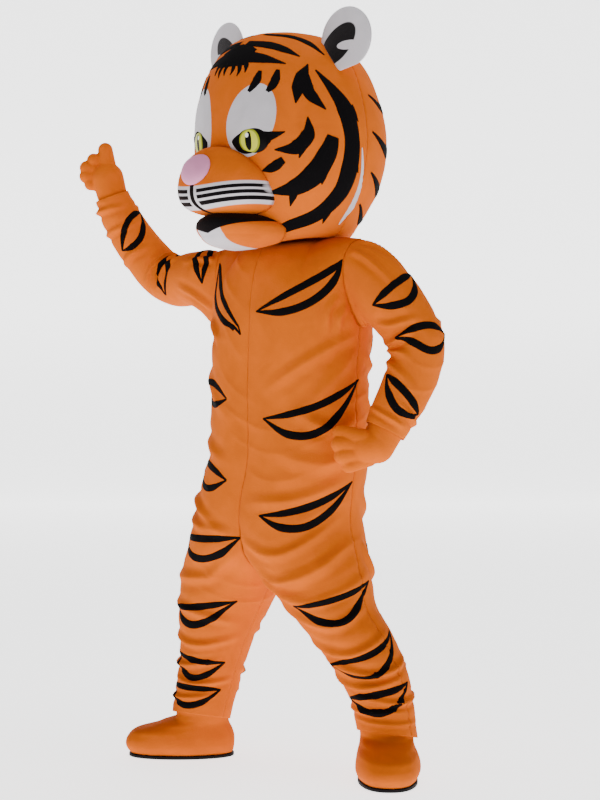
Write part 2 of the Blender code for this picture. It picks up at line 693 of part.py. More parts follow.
for side, hand in ((1, "left"), (-1, "right")):
    limbs = GLOVES[side]
    start, end, r0, r1 = limbs[0]
    back = np.array(start) - np.array(end)
    name = f"glove_{hand}"
    whole = joined(name, limbs, 0.0)
    hollow = joined(name + "_room", limbs, GLOVE_WALL)
    combine(whole, hollow, "DIFFERENCE")
    combine(whole, block(name + "_wrist", start, back, 0.08, 0.09), "DIFFERENCE")
    tools.objects.unlink(whole)
    parts.objects.link(whole)
    whole.name = name
    whole.data.name = name
    whole.hide_render = False
    whole.display_type = "TEXTURED"
    body = bmesh.new()
    body.from_mesh(whole.data)
    keep_largest(body)
    bmesh.ops.triangulate(body, faces=body.faces)
    body.to_mesh(whole.data)
    body.free()
    whole.data.materials.clear()
    whole.data.materials.append(material("orange_plush"))
for left_over in list(tools.objects):
    bpy.data.objects.remove(left_over, do_unlink=True)
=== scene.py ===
# %% [markdown]
# A tiger costume of plush, rebuilt on its measured solids. The suit is a jumpsuit cut from
# four panels, with set-in sleeves; the head is foam covered in plush; gloves and boot covers
# are separate. Each cell first says what the real piece is and then makes it.

# %% Load the measured solids
import math

import bpy
import numpy as np
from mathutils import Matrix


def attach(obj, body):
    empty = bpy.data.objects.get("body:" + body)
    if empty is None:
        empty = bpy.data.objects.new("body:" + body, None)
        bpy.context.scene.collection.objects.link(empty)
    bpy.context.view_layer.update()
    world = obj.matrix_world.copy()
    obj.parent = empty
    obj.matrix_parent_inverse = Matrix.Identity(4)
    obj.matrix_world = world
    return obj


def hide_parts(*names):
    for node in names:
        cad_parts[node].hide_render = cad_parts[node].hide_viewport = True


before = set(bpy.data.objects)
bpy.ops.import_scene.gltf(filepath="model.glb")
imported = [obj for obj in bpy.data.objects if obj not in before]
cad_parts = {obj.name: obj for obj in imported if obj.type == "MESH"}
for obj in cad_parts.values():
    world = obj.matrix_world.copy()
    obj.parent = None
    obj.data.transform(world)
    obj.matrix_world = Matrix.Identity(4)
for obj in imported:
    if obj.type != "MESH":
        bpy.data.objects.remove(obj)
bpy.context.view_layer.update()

# %% [markdown]
# The pattern. These are the sizes the costume would be cut from: heights from the floor,
# in metres. The same rows shape the solids, so cloth laid on them fits.

# %% Sizes
ORIGIN_HEIGHT = 1.39
GAP = 0.0003        # between two pieces at a seam
MUZZLE_GAP = 0.0015     # under the muzzle, where the head below is faceted
QUARTER = math.pi / 2

# One side of the suit is a tube: at each height an ellipse with its centre and
# half sizes. Above the crotch the two tubes overlap and each stops at the
# middle plane. Columns: height, centre x, centre y, half width, half depth.
TORSO = (
    # height, middle x, centre off the middle, half width, half depth
    (0.500, -0.058, 0.145, 0.145, 0.140),
    (0.568, -0.052, 0.095, 0.170, 0.160),
    (0.647, -0.050, 0.066, 0.180, 0.163),
    (0.700, -0.042, 0.055, 0.185, 0.165),
    (0.813, -0.014, 0.043, 0.184, 0.165),
    (0.920, -0.010, 0.034, 0.190, 0.166),
    (1.020, -0.009, 0.030, 0.195, 0.168),
    (1.090, -0.004, 0.030, 0.196, 0.170),
    (1.150, 0.000, 0.030, 0.197, 0.170),
)
LEGS = {
    1: (
        (0.108, 0.262, 0.068, 0.077, 0.078),
        (0.140, 0.258, 0.064, 0.078, 0.079),
        (0.182, 0.2525, 0.060, 0.080, 0.081),
        (0.236, 0.2400, 0.050, 0.086, 0.087),
        (0.300, 0.2120, 0.038, 0.098, 0.099),
        (0.360, 0.1780, 0.022, 0.107, 0.108),
        (0.440, 0.1200, 0.004, 0.121, 0.122),
    ),
    -1: (
        (0.108, -0.286, -0.042, 0.077, 0.078),
        (0.140, -0.282, -0.039, 0.079, 0.080),
        (0.189, -0.273, -0.031, 0.083, 0.084),
        (0.246, -0.264, -0.023, 0.087, 0.088),
        (0.300, -0.256, -0.017, 0.096, 0.097),
        (0.355, -0.2475, -0.010, 0.110, 0.111),
        (0.440, -0.2260, 0.000, 0.130, 0.132),
    ),
}
CROTCH = 0.500
UNDERARM = 1.150
HEM_RISE = 0.016         # the hem lies this much higher on the instep than at the side
HEM_FADE = 0.20          # and this rise is gone this far above the hem
NECK_WIDTH = 0.098
NECK_DEPTH = (0.086, 0.074)     # front, back
NECK_HEIGHT = (1.369, 1.376, 1.372)   # front, side, back
NECK_SHARE = 0.42        # share of a panel's top edge that is neckline
SHOULDER = (0.230, 0.0, 1.372)
ARMHOLE_OPEN = 0.060     # each side of the armhole's middle
ARMHOLE_SCOOP = 0.012
ARMHOLE_GAP = 0.0009

# Sleeve stations: x, y, height, radius to the top, radius to the front.
SLEEVES = {
    1: (
        (0.236, 0.000, 1.262, 0.100, 0.070),
        (0.264, 0.004, 1.252, 0.092, 0.073),
        (0.300, 0.016, 1.222, 0.083, 0.076),
        (0.335, 0.032, 1.175, 0.075, 0.074),
        (0.368, 0.046, 1.110, 0.071, 0.071),
        (0.372, 0.032, 1.040, 0.066, 0.067),
        (0.358, 0.002, 0.970, 0.062, 0.062),
        (0.342, -0.020, 0.920, 0.057, 0.057),
        (0.331, -0.034, 0.885, 0.051, 0.051),
    ),
    -1: (
        (-0.236, 0.000, 1.262, 0.100, 0.070),
        (-0.268, 0.005, 1.266, 0.093, 0.074),
        (-0.312, 0.014, 1.288, 0.082, 0.076),
        (-0.380, 0.035, 1.302, 0.074, 0.073),
        (-0.460, 0.054, 1.300, 0.069, 0.070),
        (-0.530, 0.055, 1.325, 0.067, 0.068),
        (-0.575, 0.030, 1.383, 0.062, 0.064),
        (-0.600, -0.005, 1.442, 0.058, 0.059),
        (-0.618, -0.038, 1.505, 0.053, 0.053),
        (-0.626, -0.050, 1.543, 0.048, 0.048),
    ),
}
SLEEVE_BLEND = 0.34      # share of the sleeve in which the armhole turns round

# Head profile from the neck opening to the crown: share of the full girth, height.
HEAD_PROFILE = (
    (0.530, 1.3806), (0.640, 1.3912), (0.730, 1.4250), (0.830, 1.4650),
    (0.925, 1.5150), (0.985, 1.5780), (1.010, 1.6450), (0.985, 1.7100),
    (0.920, 1.7700), (0.835, 1.8220), (0.715, 1.8640), (0.560, 1.8960),
    (0.300, 1.9200), (0.000, 1.9270),
)
HEAD_WIDTH = 0.262
HEAD_DEPTH = 0.240
HEAD_CENTRE = (-0.008, 0.0)
HEAD_DIP = 0.017          # the neck edge hangs this much lower under the chin
HEAD_DIP_TOP = (1.465, 0.085)   # height where the dip is gone, and over what height
HEAD_TURN = math.radians(-8)
HEAD_LEAN = math.tan(math.radians(4.5))     # the crown sags to the suit's left,
LEAN_FADE = (1.420, 1.600)                  # from none to all of it between these heights
FACE_EDGE = math.radians(97)

# Padded pieces on the head: centre x, height, half width, half height, thickness at
# the middle, two powers that set how full and how steep it is, how much the half
# width and the thickness grow towards the lower edge, and the power of the outline's
# lower half, where 2 is an oval and more is squarer.
PADS = {
    "muzzle": (0.000, 1.518, 0.130, 0.088, 0.103, 4.4, 0.40, 0.07, 0.48, 3.0),
    "jaw": (0.000, 1.387, 0.124, 0.038, 0.120, 3.0, 0.50, 0.0, 0.0, 2.4),
    "eye": (0.104, 1.619, 0.042, 0.031, 0.006, 2.2, 0.60, 0.0, 0.0, 2.0),
}
NOSE = (0.000, 1.541, 0.051, 0.040, 0.020, 2.6, 0.55, 0.0, -0.25, 2.0)
JAW_BACK = -0.120        # the jaw reaches back this far below the head's edge,
JAW_LOW = 1.380          # which is about this high under the chin
JAW_CLEAR = 0.0010          # further off the head, which is faceted
EAR_CENTRE = (0.236, 1.896)
EAR_PLACE = -0.030        # the ears stand this far ahead of the head's middle
EAR_RADIUS = (0.081, 0.080)
EAR_ARC = (math.radians(192), math.radians(-62))
EAR_BASE = (1.876, 1.812)     # heights of the base on the head, inner and outer
EAR_PAD = 0.011
EAR_CUP = 0.012
EAR_SEAT = 0.0000          # off the faceted head, outward and up
EAR_OUT = math.tan(math.radians(5))

# Boot rings along the foot: height, toe, heel, half width.
BOOT_RINGS = (
    (0.0085, 0.195, -0.082, 0.072),
    (0.0300, 0.207, -0.086, 0.081),
    (0.0520, 0.202, -0.086, 0.081),
    (0.0720, 0.180, -0.080, 0.076),
    (0.0900, 0.116, -0.0710, 0.0690),
    (0.1060, 0.0740, -0.0680, 0.0675),
    (0.1240, 0.0692, -0.0692, 0.0692),
    (0.1500, 0.0660, -0.0660, 0.0660),
    (0.1850, 0.0600, -0.0600, 0.0580),
)
# Feet: x and y of the ankle, and how far the toes turn out.
FEET = {1: (0.2605, 0.067, math.radians(39)), -1: (-0.2838, -0.0405, math.radians(-50))}

# Gloves: rounded limbs from a start to an end, with a radius at each.
GLOVES = {
    -1: (
        ((-0.6236, -0.0465, 1.5318), (-0.6345, -0.0585, 1.594), 0.0419, 0.045),
        ((-0.634, -0.058, 1.610), (-0.641, -0.062, 1.675), 0.027, 0.021),
        ((-0.646, -0.048, 1.640), (-0.664, -0.086, 1.646), 0.021, 0.019),
        ((-0.652, -0.052, 1.619), (-0.680, -0.098, 1.624), 0.022, 0.020),
        ((-0.652, -0.056, 1.597), (-0.681, -0.098, 1.600), 0.022, 0.020),
        ((-0.646, -0.058, 1.577), (-0.672, -0.090, 1.578), 0.020, 0.018),
    ),
    1: (
        ((0.3344, -0.0297, 0.8957), (0.318, -0.050, 0.848), 0.0462, 0.044),
        ((0.3180, -0.0520, 0.8500), (0.298, -0.074, 0.846), 0.044, 0.043),
        ((0.302, -0.090, 0.868), (0.258, -0.118, 0.880), 0.024, 0.021),
        ((0.300, -0.076, 0.850), (0.262, -0.128, 0.852), 0.026, 0.022),
        ((0.300, -0.070, 0.832), (0.268, -0.124, 0.824), 0.026, 0.022),
        ((0.302, -0.064, 0.818), (0.276, -0.110, 0.800), 0.022, 0.019),
    ),
}

# %% [markdown]
# The block of each garment piece as a surface of two parameters. A panel runs from the
# centre line to the side seam and from hem to shoulder, as its paper pattern does.

# %% Suit block
def unit(v):
    return v / np.maximum(np.linalg.norm(v, axis=-1, keepdims=True), 1e-12)


def curve(rows, at):
    """Smooth curve through a table; the first column is the place along it."""
    rows = np.asarray(rows, float)
    key, val = rows[:, 0], rows[:, 1:]
    slope = np.gradient(val, key, axis=0)
    at = np.clip(np.asarray(at, float), key[0], key[-1])
    i = np.clip(np.searchsorted(key, at, side="right") - 1, 0, len(key) - 2)
    step = (key[i + 1] - key[i])[..., None]
    t = (at - key[i])[..., None] / step
    return ((2 * t**3 - 3 * t**2 + 1) * val[i] + (t**3 - 2 * t**2 + t) * step * slope[i]
            + (3 * t**2 - 2 * t**3) * val[i + 1] + (t**3 - t**2) * step * slope[i + 1])


def side_rows(side):
    """The tube of one side: height, centre x, centre y, half width, half depth."""
    torso = [(z, m + side * c, 0.0, a, b) for z, m, c, a, b in TORSO]
    return list(LEGS[side]) + torso


def tube_point(side, angle, height):
    """Point of one side's tube. Angle 0 is the outer side, -90 degrees the front."""
    cx, cy, a, b = np.moveaxis(curve(side_rows(side), height), -1, 0)
    fade = np.clip(1 - (height - LEGS[side][0][0]) / HEM_FADE, 0, 1) ** 2
    return np.stack([cx + side * a * np.cos(angle), cy + b * np.sin(angle),
                     height - HEM_RISE * fade * np.sin(angle)], -1)


def first_angle(side, height):
    """How far round from the outer side the tube's inner edge is, in radians."""
    cx, cy, a, b = np.moveaxis(curve(side_rows(side), height), -1, 0)
    other = curve(side_rows(-side), height)[..., 0]
    off = (cx - other) / 2 * side
    edge = np.arccos(np.clip(-off / a, -1, 1))
    return np.where(height > CROTCH + 1e-6, edge, math.pi)


def top_edge(k, side, front):
    """Neckline, then shoulder seam, from the centre line (k 0) to the armhole (k 1)."""
    face = -1 if front else 1
    n = np.clip(k / NECK_SHARE, 0, 1) * QUARTER
    depth = NECK_DEPTH[0 if front else 1]
    low = NECK_HEIGHT[0 if front else 2]
    neck = np.stack([side * NECK_WIDTH * np.sin(n), face * depth * np.cos(n),
                     low + (NECK_HEIGHT[1] - low) * (1 - np.cos(n))], -1)
    s = np.clip((k - NECK_SHARE) / (1 - NECK_SHARE), 0, 1)[..., None]
    start = np.array([side * NECK_WIDTH, 0, NECK_HEIGHT[1]])
    end = np.array([side * SHOULDER[0], SHOULDER[1], SHOULDER[2]])
    seam = start + (end - start) * s + np.array([0, 0, 0.006]) * np.sin(math.pi * s)
    return np.where((k < NECK_SHARE)[..., None], neck, seam)


def panel_point(side, front, k, w):
    """Point of a suit panel. k runs from the centre line to the side seam; w is the
    height up to the underarm, and past it one more unit reaches the shoulder."""
    k, w = np.broadcast_arrays(np.asarray(k, float), np.asarray(w, float))
    face = -1 if front else 1
    height = np.minimum(w, UNDERARM)
    inner = first_angle(side, height)
    body = tube_point(side, face * inner * (1 - k), height)
    v = np.clip(w - UNDERARM, 0, 1)
    top = top_edge(k, side, front)
    go = (1 - np.cos(v * QUARTER))[..., None]
    flat = body[..., :2] + (top[..., :2] - body[..., :2]) * go
    rise = body[..., 2] + (top[..., 2] - body[..., 2]) * np.sin(v * QUARTER)
    open_it = np.sin(math.pi * v**0.85) * np.clip(k, 0, 1) ** 4
    shift = np.stack([-side * ARMHOLE_SCOOP * open_it, face * ARMHOLE_OPEN * open_it], -1)
    return np.concatenate([flat + shift, rise[..., None]], -1)


def panel_normal(side, front, k, w):
    """Outward normal of a panel, taken at a fixed angle round the tube."""
    k, w = np.broadcast_arrays(np.asarray(k, float), np.asarray(w, float))
    face = -1 if front else 1
    e = 1e-4
    height = np.minimum(w, UNDERARM)
    angle = face * first_angle(side, height) * (1 - k)
    low = np.clip(height, LEGS[side][0][0] + e, UNDERARM - e)
    round_it = tube_point(side, angle + e, low) - tube_point(side, angle - e, low)
    up = tube_point(side, angle, low + e) - tube_point(side, angle, low - e)
    tube = unit(np.cross(round_it, up)) * side
    v = np.clip(w, UNDERARM + 0.02, UNDERARM + 0.97)
    kk = np.clip(k, 0.02, 0.98)
    across = panel_point(side, front, kk + e, v) - panel_point(side, front, kk - e, v)
    rise = panel_point(side, front, kk, v + e) - panel_point(side, front, kk, v - e)
    yoke = unit(np.cross(across, rise)) * side * -face
    mix = np.clip((w - UNDERARM) / 0.15, 0, 1)[..., None]
    normal = unit(tube * (1 - mix) + yoke * mix)
    # On the shoulder seam both panels' walls stand square to the seam.
    on_seam = np.where(k > NECK_SHARE - 1e-6, np.clip((w - UNDERARM - 0.6) / 0.4, 0, 1), 0)
    return unit(normal * np.stack([0 * k + 1, 1 - on_seam, 0 * k + 1], -1))


def armhole(side, count, wall):
    """Edge of the armhole as a ring from the top, by the front, the bottom and the
    back. Gives the edge points at this wall depth and the way from them to the sleeve."""
    v = np.linspace(1, 0, count // 2 + 1)
    rings = []
    for front, vv in ((True, v[:-1]), (False, v[::-1][:-1])):
        w = UNDERARM + vv
        one = np.ones_like(w)
        p = panel_point(side, front, one, w)
        rings.append(p - panel_normal(side, front, one, w) * wall)
    ring = np.concatenate(rings)
    low = (1 - np.cos(np.arange(count) / count * 2 * math.pi))[:, None] / 2
    inward = unit(ring.mean(axis=0) - ring)
    return ring, unit(inward * low + np.array([side, 0, 0.0]))


def sleeve_point(side, turn, s, wall):
    """Point of a sleeve: turn is the ring angle (0 on top, 90 degrees in front) and
    s runs from the armhole (0) to the cuff (1)."""
    rows = np.array(SLEEVES[side])
    place = np.linspace(0, 1, len(rows))
    table = np.column_stack([place, rows])
    centre = curve(table, s)
    e = 1e-3
    ahead = curve(table, np.clip(s + e, 0, 1))[..., :3]
    behind = curve(table, np.clip(s - e, 0, 1))[..., :3]
    along = unit(ahead - behind)
    front = np.array([0, -1.0, 0])
    up = unit(np.cross(front, along)) * side
    fore = unit(np.cross(along, up)) * side
    ru = (centre[..., 3] - wall)[..., None]
    rf = (centre[..., 4] - wall)[..., None]
    ring = centre[..., :3] + ru * np.cos(turn)[..., None] * up + rf * np.sin(turn)[..., None] * fore
    return ring


def sleeve_grid(side, rows, count, wall):
    """Rings of a sleeve; the first follows the armhole and they turn round from it."""
    turn = np.arange(count) / count * 2 * math.pi
    edge, way = armhole(side, count, wall)
    s = np.linspace(0, 1, rows)
    ring = sleeve_point(side, turn[None, :] + 0 * s[:, None], s[:, None] + 0 * turn[None, :], wall)
    first = edge + way * ARMHOLE_GAP
    travel = ring.mean(axis=1) - ring[0].mean(axis=0)
    moved = first[None] + travel[:, None]
    mix = np.clip(s / SLEEVE_BLEND, 0, 1)
    mix = (mix * mix * (3 - 2 * mix))[:, None, None]
    return moved * (1 - mix) + ring * mix


# %% [markdown]
# The head is a foam shell on a simple profile. Padded pieces are domes laid on it, and the
# boot cover is a stack of rings along the foot.

# %% Head and foot blocks
def head_ring(t):
    """Girth share and height of the head profile at t, from 0 (neck) to 1 (crown)."""
    rows = np.array(HEAD_PROFILE)
    place = np.linspace(0, 1, len(rows))
    return np.moveaxis(curve(np.column_stack([place, rows]), t), -1, 0)


def head_dip(facing, z):
    """How much lower the head's neck edge is; facing is 1 straight ahead and 0 at the side."""
    top, over = HEAD_DIP_TOP
    return HEAD_DIP * facing * np.clip((top - z) / over, 0, 1) ** 2


def head_local(angle, t, wall=0.0):
    """Point of the head in its own frame. Angle 0 is the face, positive to its left."""
    def at(ang, tt):
        r, z = head_ring(tt)
        r = np.maximum(r, 0)
        z = z - head_dip(np.maximum(np.cos(ang), 0) ** 2, z)
        return np.stack([HEAD_WIDTH * r * np.sin(ang), -HEAD_DEPTH * r * np.cos(ang), z], -1)
    p = at(angle, t)
    if wall == 0:
        return p
    e = 1e-4
    tt = np.clip(t, e, 1 - 2e-3)
    n = unit(np.cross(at(angle + e, tt) - at(angle - e, tt), at(angle, tt + e) - at(angle, tt - e)))
    n = np.where((t > 0.998)[..., None], np.array([0, 0, 1.0]), n)
    return p - n * wall


def head_front(x, z):
    """How far forward the head's surface is at this x and height, in its own frame."""
    t = np.linspace(0, 1, 400)
    r, zz = head_ring(t)
    level = z
    for _ in range(10):
        share = np.interp(level, zz, r)
        facing = np.maximum(1 - (x / (HEAD_WIDTH * share)) ** 2, 0)
        level = z + head_dip(facing, level)
    share = np.interp(level, zz, r)
    return -HEAD_DEPTH * np.sqrt(np.maximum(share**2 - (x / HEAD_WIDTH) ** 2, 0.0))


def place_head(p):
    """From the head's own frame to the suit's: turned, and leaning to one side."""
    c, s = math.cos(HEAD_TURN), math.sin(HEAD_TURN)
    x, y, z = p[..., 0], p[..., 1], p[..., 2]
    share = np.clip((z - LEAN_FADE[0]) / (LEAN_FADE[1] - LEAN_FADE[0]), 0, 1)
    z = z - HEAD_LEAN * x * share * share * (3 - 2 * share)
    return np.stack([x * c - y * s + HEAD_CENTRE[0], x * s + y * c + HEAD_CENTRE[1], z], -1)


def pad_height(rho, thick, full, steep):
    return thick * np.maximum(1 - rho**full, 0) ** steep


def outline(across, up, square):
    """Share of the way from a pad's middle to its rim: an oval above, squarer below."""
    power = np.where(up < 0, square, 2.0)
    return (np.abs(across) ** power + np.abs(up) ** power) ** (1 / power)


def muzzle_front(x, z):
    """How far forward the muzzle's surface is at this x and height."""
    cx, cz, hw, hh, thick, full, steep, flare, lean, square = PADS["muzzle"]
    up = (z - cz) / hh
    rho = outline(np.abs(x - cx) / (hw * (1 - flare * up)), up, square)
    return head_front(x, z) - MUZZLE_GAP - pad_height(rho, thick * (1 - lean * up), full, steep)


def pad_grid(row, base, rows, count, gap):
    """A padded piece lying on a surface: front from its middle to the rim, then the
    back to its middle, each row a closed ring."""
    cx, cz, hw, hh, thick, full, steep, flare, lean, square = row
    rho = np.sin(np.linspace(0, 1, rows) * QUARTER)
    turn = np.arange(count) / count * 2 * math.pi
    out = []
    for level, lift in [(r, 1.0) for r in rho] + [(r, 0.0) for r in rho[::-1][1:]]:
        reach = level / outline(np.cos(turn), np.sin(turn), square)
        up = reach * np.sin(turn)
        x = cx + hw * (1 - flare * up) * reach * np.cos(turn)
        z = cz + hh * up
        deep = thick * (1 - lean * up)
        y = base(x, z) - gap - lift * pad_height(np.full_like(x, level), deep, full, steep)
        out.append(np.stack([x, y, z], -1))
    return np.array(out)


def ear_grid(side, columns, rows):
    """A padded ear: each column is a loop, front from the base to the rim and back."""
    k = np.linspace(0, 1, columns)
    arc = EAR_ARC[0] + (EAR_ARC[1] - EAR_ARC[0]) * k
    rim = np.stack([np.cos(arc), np.sin(arc)], -1) * EAR_RADIUS + EAR_CENTRE
    t = np.linspace(0, 1, 400)
    r, z = head_ring(t)
    height = EAR_BASE[0] + (EAR_BASE[1] - EAR_BASE[0]) * k
    share = np.interp(height, z, r)

    def base_at(y):
        reach = HEAD_WIDTH * np.sqrt(np.maximum(share**2 - (y / HEAD_DEPTH) ** 2, 0))
        return np.stack([reach, height], -1) + EAR_SEAT

    middle = base_at(EAR_PLACE)
    rim[0], rim[-1] = middle[0], middle[-1]
    full = np.sqrt(np.clip(4 * k * (1 - k), 0, 1))
    m = np.linspace(0, 1, rows)
    loops = []
    for way, steps in ((-1, m), (1, m[::-1][1:])):
        for step in steps:
            pad = EAR_PAD * full * np.sqrt(max(1 - step**3, 0))
            cup = EAR_CUP * full * math.sin(math.pi * step * 0.5)
            across = middle[:, 0] + (rim[:, 0] - middle[:, 0]) * step
            y = EAR_PLACE + (across - middle[:, 0].mean()) * EAR_OUT + way * pad + cup
            base = base_at(y) if step == 0 else middle
            xz = base + (rim - base) * step
            loops.append(np.stack([side * xz[:, 0], y, xz[:, 1]], -1))
    return np.swapaxes(np.array(loops), 0, 1)


def boot_ring(side, turn, height, out=0.0):
    """Point of a boot; turn 0 is the toe and 90 degrees the foot's own left."""
    toe, heel, half = np.moveaxis(curve(BOOT_RINGS, height), -1, 0)
    mid, reach = (toe + heel) / 2, (toe - heel) / 2 + out
    c, s = np.cos(turn), np.sin(turn)
    fore = mid + reach * np.sign(c) * np.abs(c) ** 0.90
    wide = (half + out) * np.sign(s) * np.abs(s) ** 0.84 * (1 - 0.10 * np.clip(-c, 0, 1))
    x0, y0, out_angle = FEET[side]
    way = np.array([math.sin(out_angle), -math.cos(out_angle)])
    across = np.array([-way[1], way[0]])
    flat = np.array([x0, y0]) + fore[..., None] * way + wide[..., None] * across
    return np.concatenate([flat, np.broadcast_to(height, turn.shape)[..., None]], -1)


# %% [markdown]
# Helpers shared by every piece: a grid becomes a mesh in one call, a surface gives its
# normals by small steps, and a point list becomes a smooth path.

# %% Mesh helpers
DOWN = np.array([0, 0, -ORIGIN_HEIGHT])


def normals_of(surface, u, v, eu, ev):
    """Unit normal of a surface: the cross product of a small step each way."""
    a = surface(u + eu, v) - surface(u - eu, v)
    b = surface(u, v + ev) - surface(u, v - ev)
    return unit(np.cross(a, b))


def grid_faces(rows, columns, closed=False):
    """Four-sided faces of a rows by columns grid, whose last column may meet the first."""
    i, j = np.meshgrid(np.arange(rows - 1), np.arange(columns if closed else columns - 1), indexing="ij")
    n = (j + 1) % columns
    q = np.stack([i * columns + j, i * columns + n, (i + 1) * columns + n, (i + 1) * columns + j], -1)
    return q.reshape(-1, 4)


def grid_mesh(name, points, mats, closed=False, face_mat=None):
    """Mesh of a rows by columns grid of points."""
    return raw_mesh(name, points.reshape(-1, 3), grid_faces(*points.shape[:2], closed), mats, face_mat)


def joined_mesh(name, grids, mat, closed=False):
    """One mesh of several grids, each given as its points, rows and columns."""
    starts = np.cumsum([0] + [len(g[0]) for g in grids])
    faces = [grid_faces(g[1], g[2], closed) + start for g, start in zip(grids, starts)]
    return raw_mesh(name, np.concatenate([g[0] for g in grids]), np.concatenate(faces), [mat])


def raw_mesh(name, points, q, mats, face_mat=None):
    mesh = bpy.data.meshes.new(name)
    mesh.vertices.add(len(points))
    mesh.vertices.foreach_set("co", (points + DOWN).astype(np.float32).ravel())
    mesh.loops.add(q.size)
    mesh.loops.foreach_set("vertex_index", q.astype(np.int32).ravel())
    mesh.polygons.add(len(q))
    mesh.polygons.foreach_set("loop_start", np.arange(0, q.size, 4, dtype=np.int32))
    mesh.polygons.foreach_set("use_smooth", np.ones(len(q), bool))
    for mat in mats:
        mesh.materials.append(mat)
    if face_mat is not None:
        mesh.polygons.foreach_set("material_index", face_mat.astype(np.int32).ravel())
    mesh.update()
    mesh.validate()
    thing = bpy.data.objects.new(name, mesh)
    bpy.context.scene.collection.objects.link(thing)
    return thing


def thicken(thing, amount):
    mod = thing.modifiers.new("thickness", "SOLIDIFY")
    mod.thickness, mod.offset = amount, -1
    return thing


def area_of(points, closed=False):
    """Area of a grid of points, in square metres."""
    p = np.concatenate([points, points[:, :1]], 1) if closed else points
    a, b = p[1:, :-1] - p[:-1, :-1], p[:-1, 1:] - p[:-1, :-1]
    return float(np.linalg.norm(np.cross(a, b), axis=-1).sum())


def path(points, count):
    """Smooth path through a few points."""
    points = np.asarray(points, float)
    return curve(np.column_stack([np.linspace(0, 1, len(points)), points]), np.linspace(0, 1, count))


# %% [markdown]
# Short-pile plush: a fibre cloth that is soft and matt, a little paler where it turns away.
# One node group gives the pile's grain and the patchy brushing; every plush uses it.

# %% Materials
def node(tree, kind, inputs=(), **settings):
    n = tree.nodes.new(kind)
    for key, value in settings.items():
        setattr(n, key, value)
    for key, value in dict(inputs).items():
        if isinstance(value, bpy.types.NodeSocket):
            tree.links.new(value, n.inputs[key])
        else:
            n.inputs[key].default_value = value
    return n


def calc(tree, op, a, b=0.0, c=0.0):
    return node(tree, "ShaderNodeMath", {0: a, 1: b, 2: c}, operation=op).outputs[0]


def pile_group():
    tree = bpy.data.node_groups.new("PlushPile", "ShaderNodeTree")
    face = tree.interface
    face.new_socket("Color", in_out="INPUT", socket_type="NodeSocketColor")
    face.new_socket("Color", in_out="OUTPUT", socket_type="NodeSocketColor")
    face.new_socket("Normal", in_out="OUTPUT", socket_type="NodeSocketVector")
    given = tree.nodes.new("NodeGroupInput")
    place = tree.nodes.new("ShaderNodeTexCoord").outputs["Object"]
    fine = node(tree, "ShaderNodeTexNoise", {"Vector": place, "Scale": 900.0, "Detail": 3.0})
    tuft = node(tree, "ShaderNodeTexNoise", {"Vector": place, "Scale": 210.0, "Detail": 2.0})
    brushed = node(tree, "ShaderNodeTexNoise",
                   {"Vector": place, "Scale": 14.0, "Detail": 4.0, "Distortion": 0.6})
    height = calc(tree, "ADD", fine.outputs[0], calc(tree, "MULTIPLY", tuft.outputs[0], 1.4))
    bump = node(tree, "ShaderNodeBump", {"Height": height, "Strength": 0.35, "Distance": 0.0012})
    tone = calc(tree, "ADD", calc(tree, "MULTIPLY", brushed.outputs[0], 0.34), 0.80)
    tone = calc(tree, "ADD", tone, calc(tree, "MULTIPLY", fine.outputs[0], 0.10))
    shade = node(tree, "ShaderNodeVectorMath", {0: given.outputs["Color"]}, operation="SCALE")
    tree.links.new(tone, shade.inputs["Scale"])
    out = tree.nodes.new("NodeGroupOutput")
    tree.links.new(shade.outputs[0], out.inputs["Color"])
    tree.links.new(bump.outputs[0], out.inputs["Normal"])
    return tree


PILE = pile_group()


def plush(name, colour, masks=(), sheen=0.35, rough=0.92):
    """Plush of one colour. masks is a function that takes the tree and gives pairs of a
    0 to 1 mask and a colour laid over what is there."""
    mat = bpy.data.materials.new(name)
    mat.use_nodes = True
    tree = mat.node_tree
    shader = tree.nodes["Principled BSDF"]
    base = node(tree, "ShaderNodeRGB")
    base.outputs[0].default_value = (*colour, 1)
    now = base.outputs[0]
    for mask, tint in (masks(tree) if masks else ()):
        mix = node(tree, "ShaderNodeMix", data_type="RGBA")
        tree.links.new(mask, mix.inputs[0])
        tree.links.new(now, mix.inputs[6])
        mix.inputs[7].default_value = (*tint, 1)
        now = mix.outputs[2]
    pile = node(tree, "ShaderNodeGroup", node_tree=PILE)
    tree.links.new(now, pile.inputs["Color"])
    tree.links.new(pile.outputs["Color"], shader.inputs["Base Color"])
    tree.links.new(pile.outputs["Normal"], shader.inputs["Normal"])
    shader.inputs["Roughness"].default_value = rough
    shader.inputs["Specular IOR Level"].default_value = 0.06
    shader.inputs["Sheen Weight"].default_value = sheen
    shader.inputs["Sheen Roughness"].default_value = 0.45
    shader.inputs["Sheen Tint"].default_value = (*[min(1, 0.25 + c) for c in colour], 1)
    return mat


def local(tree):
    """Place on the head in its own frame: across to its left, and height from the floor."""
    place = tree.nodes.new("ShaderNodeTexCoord").outputs["Object"]
    c, s = math.cos(HEAD_TURN), math.sin(HEAD_TURN)
    dot = node(tree, "ShaderNodeVectorMath", {0: place, 1: (c, s, 0)}, operation="DOT_PRODUCT")
    x = calc(tree, "SUBTRACT", dot.outputs["Value"], HEAD_CENTRE[0] * c)
    z = calc(tree, "ADD", node(tree, "ShaderNodeSeparateXYZ", {0: place}).outputs[2], ORIGIN_HEIGHT)
    share = node(tree, "ShaderNodeMapRange", {"Value": z, "From Min": LEAN_FADE[0], "From Max": LEAN_FADE[1]},
                 interpolation_type="SMOOTHSTEP").outputs[0]
    return x, calc(tree, "ADD", z, calc(tree, "MULTIPLY", calc(tree, "MULTIPLY", x, HEAD_LEAN), share))


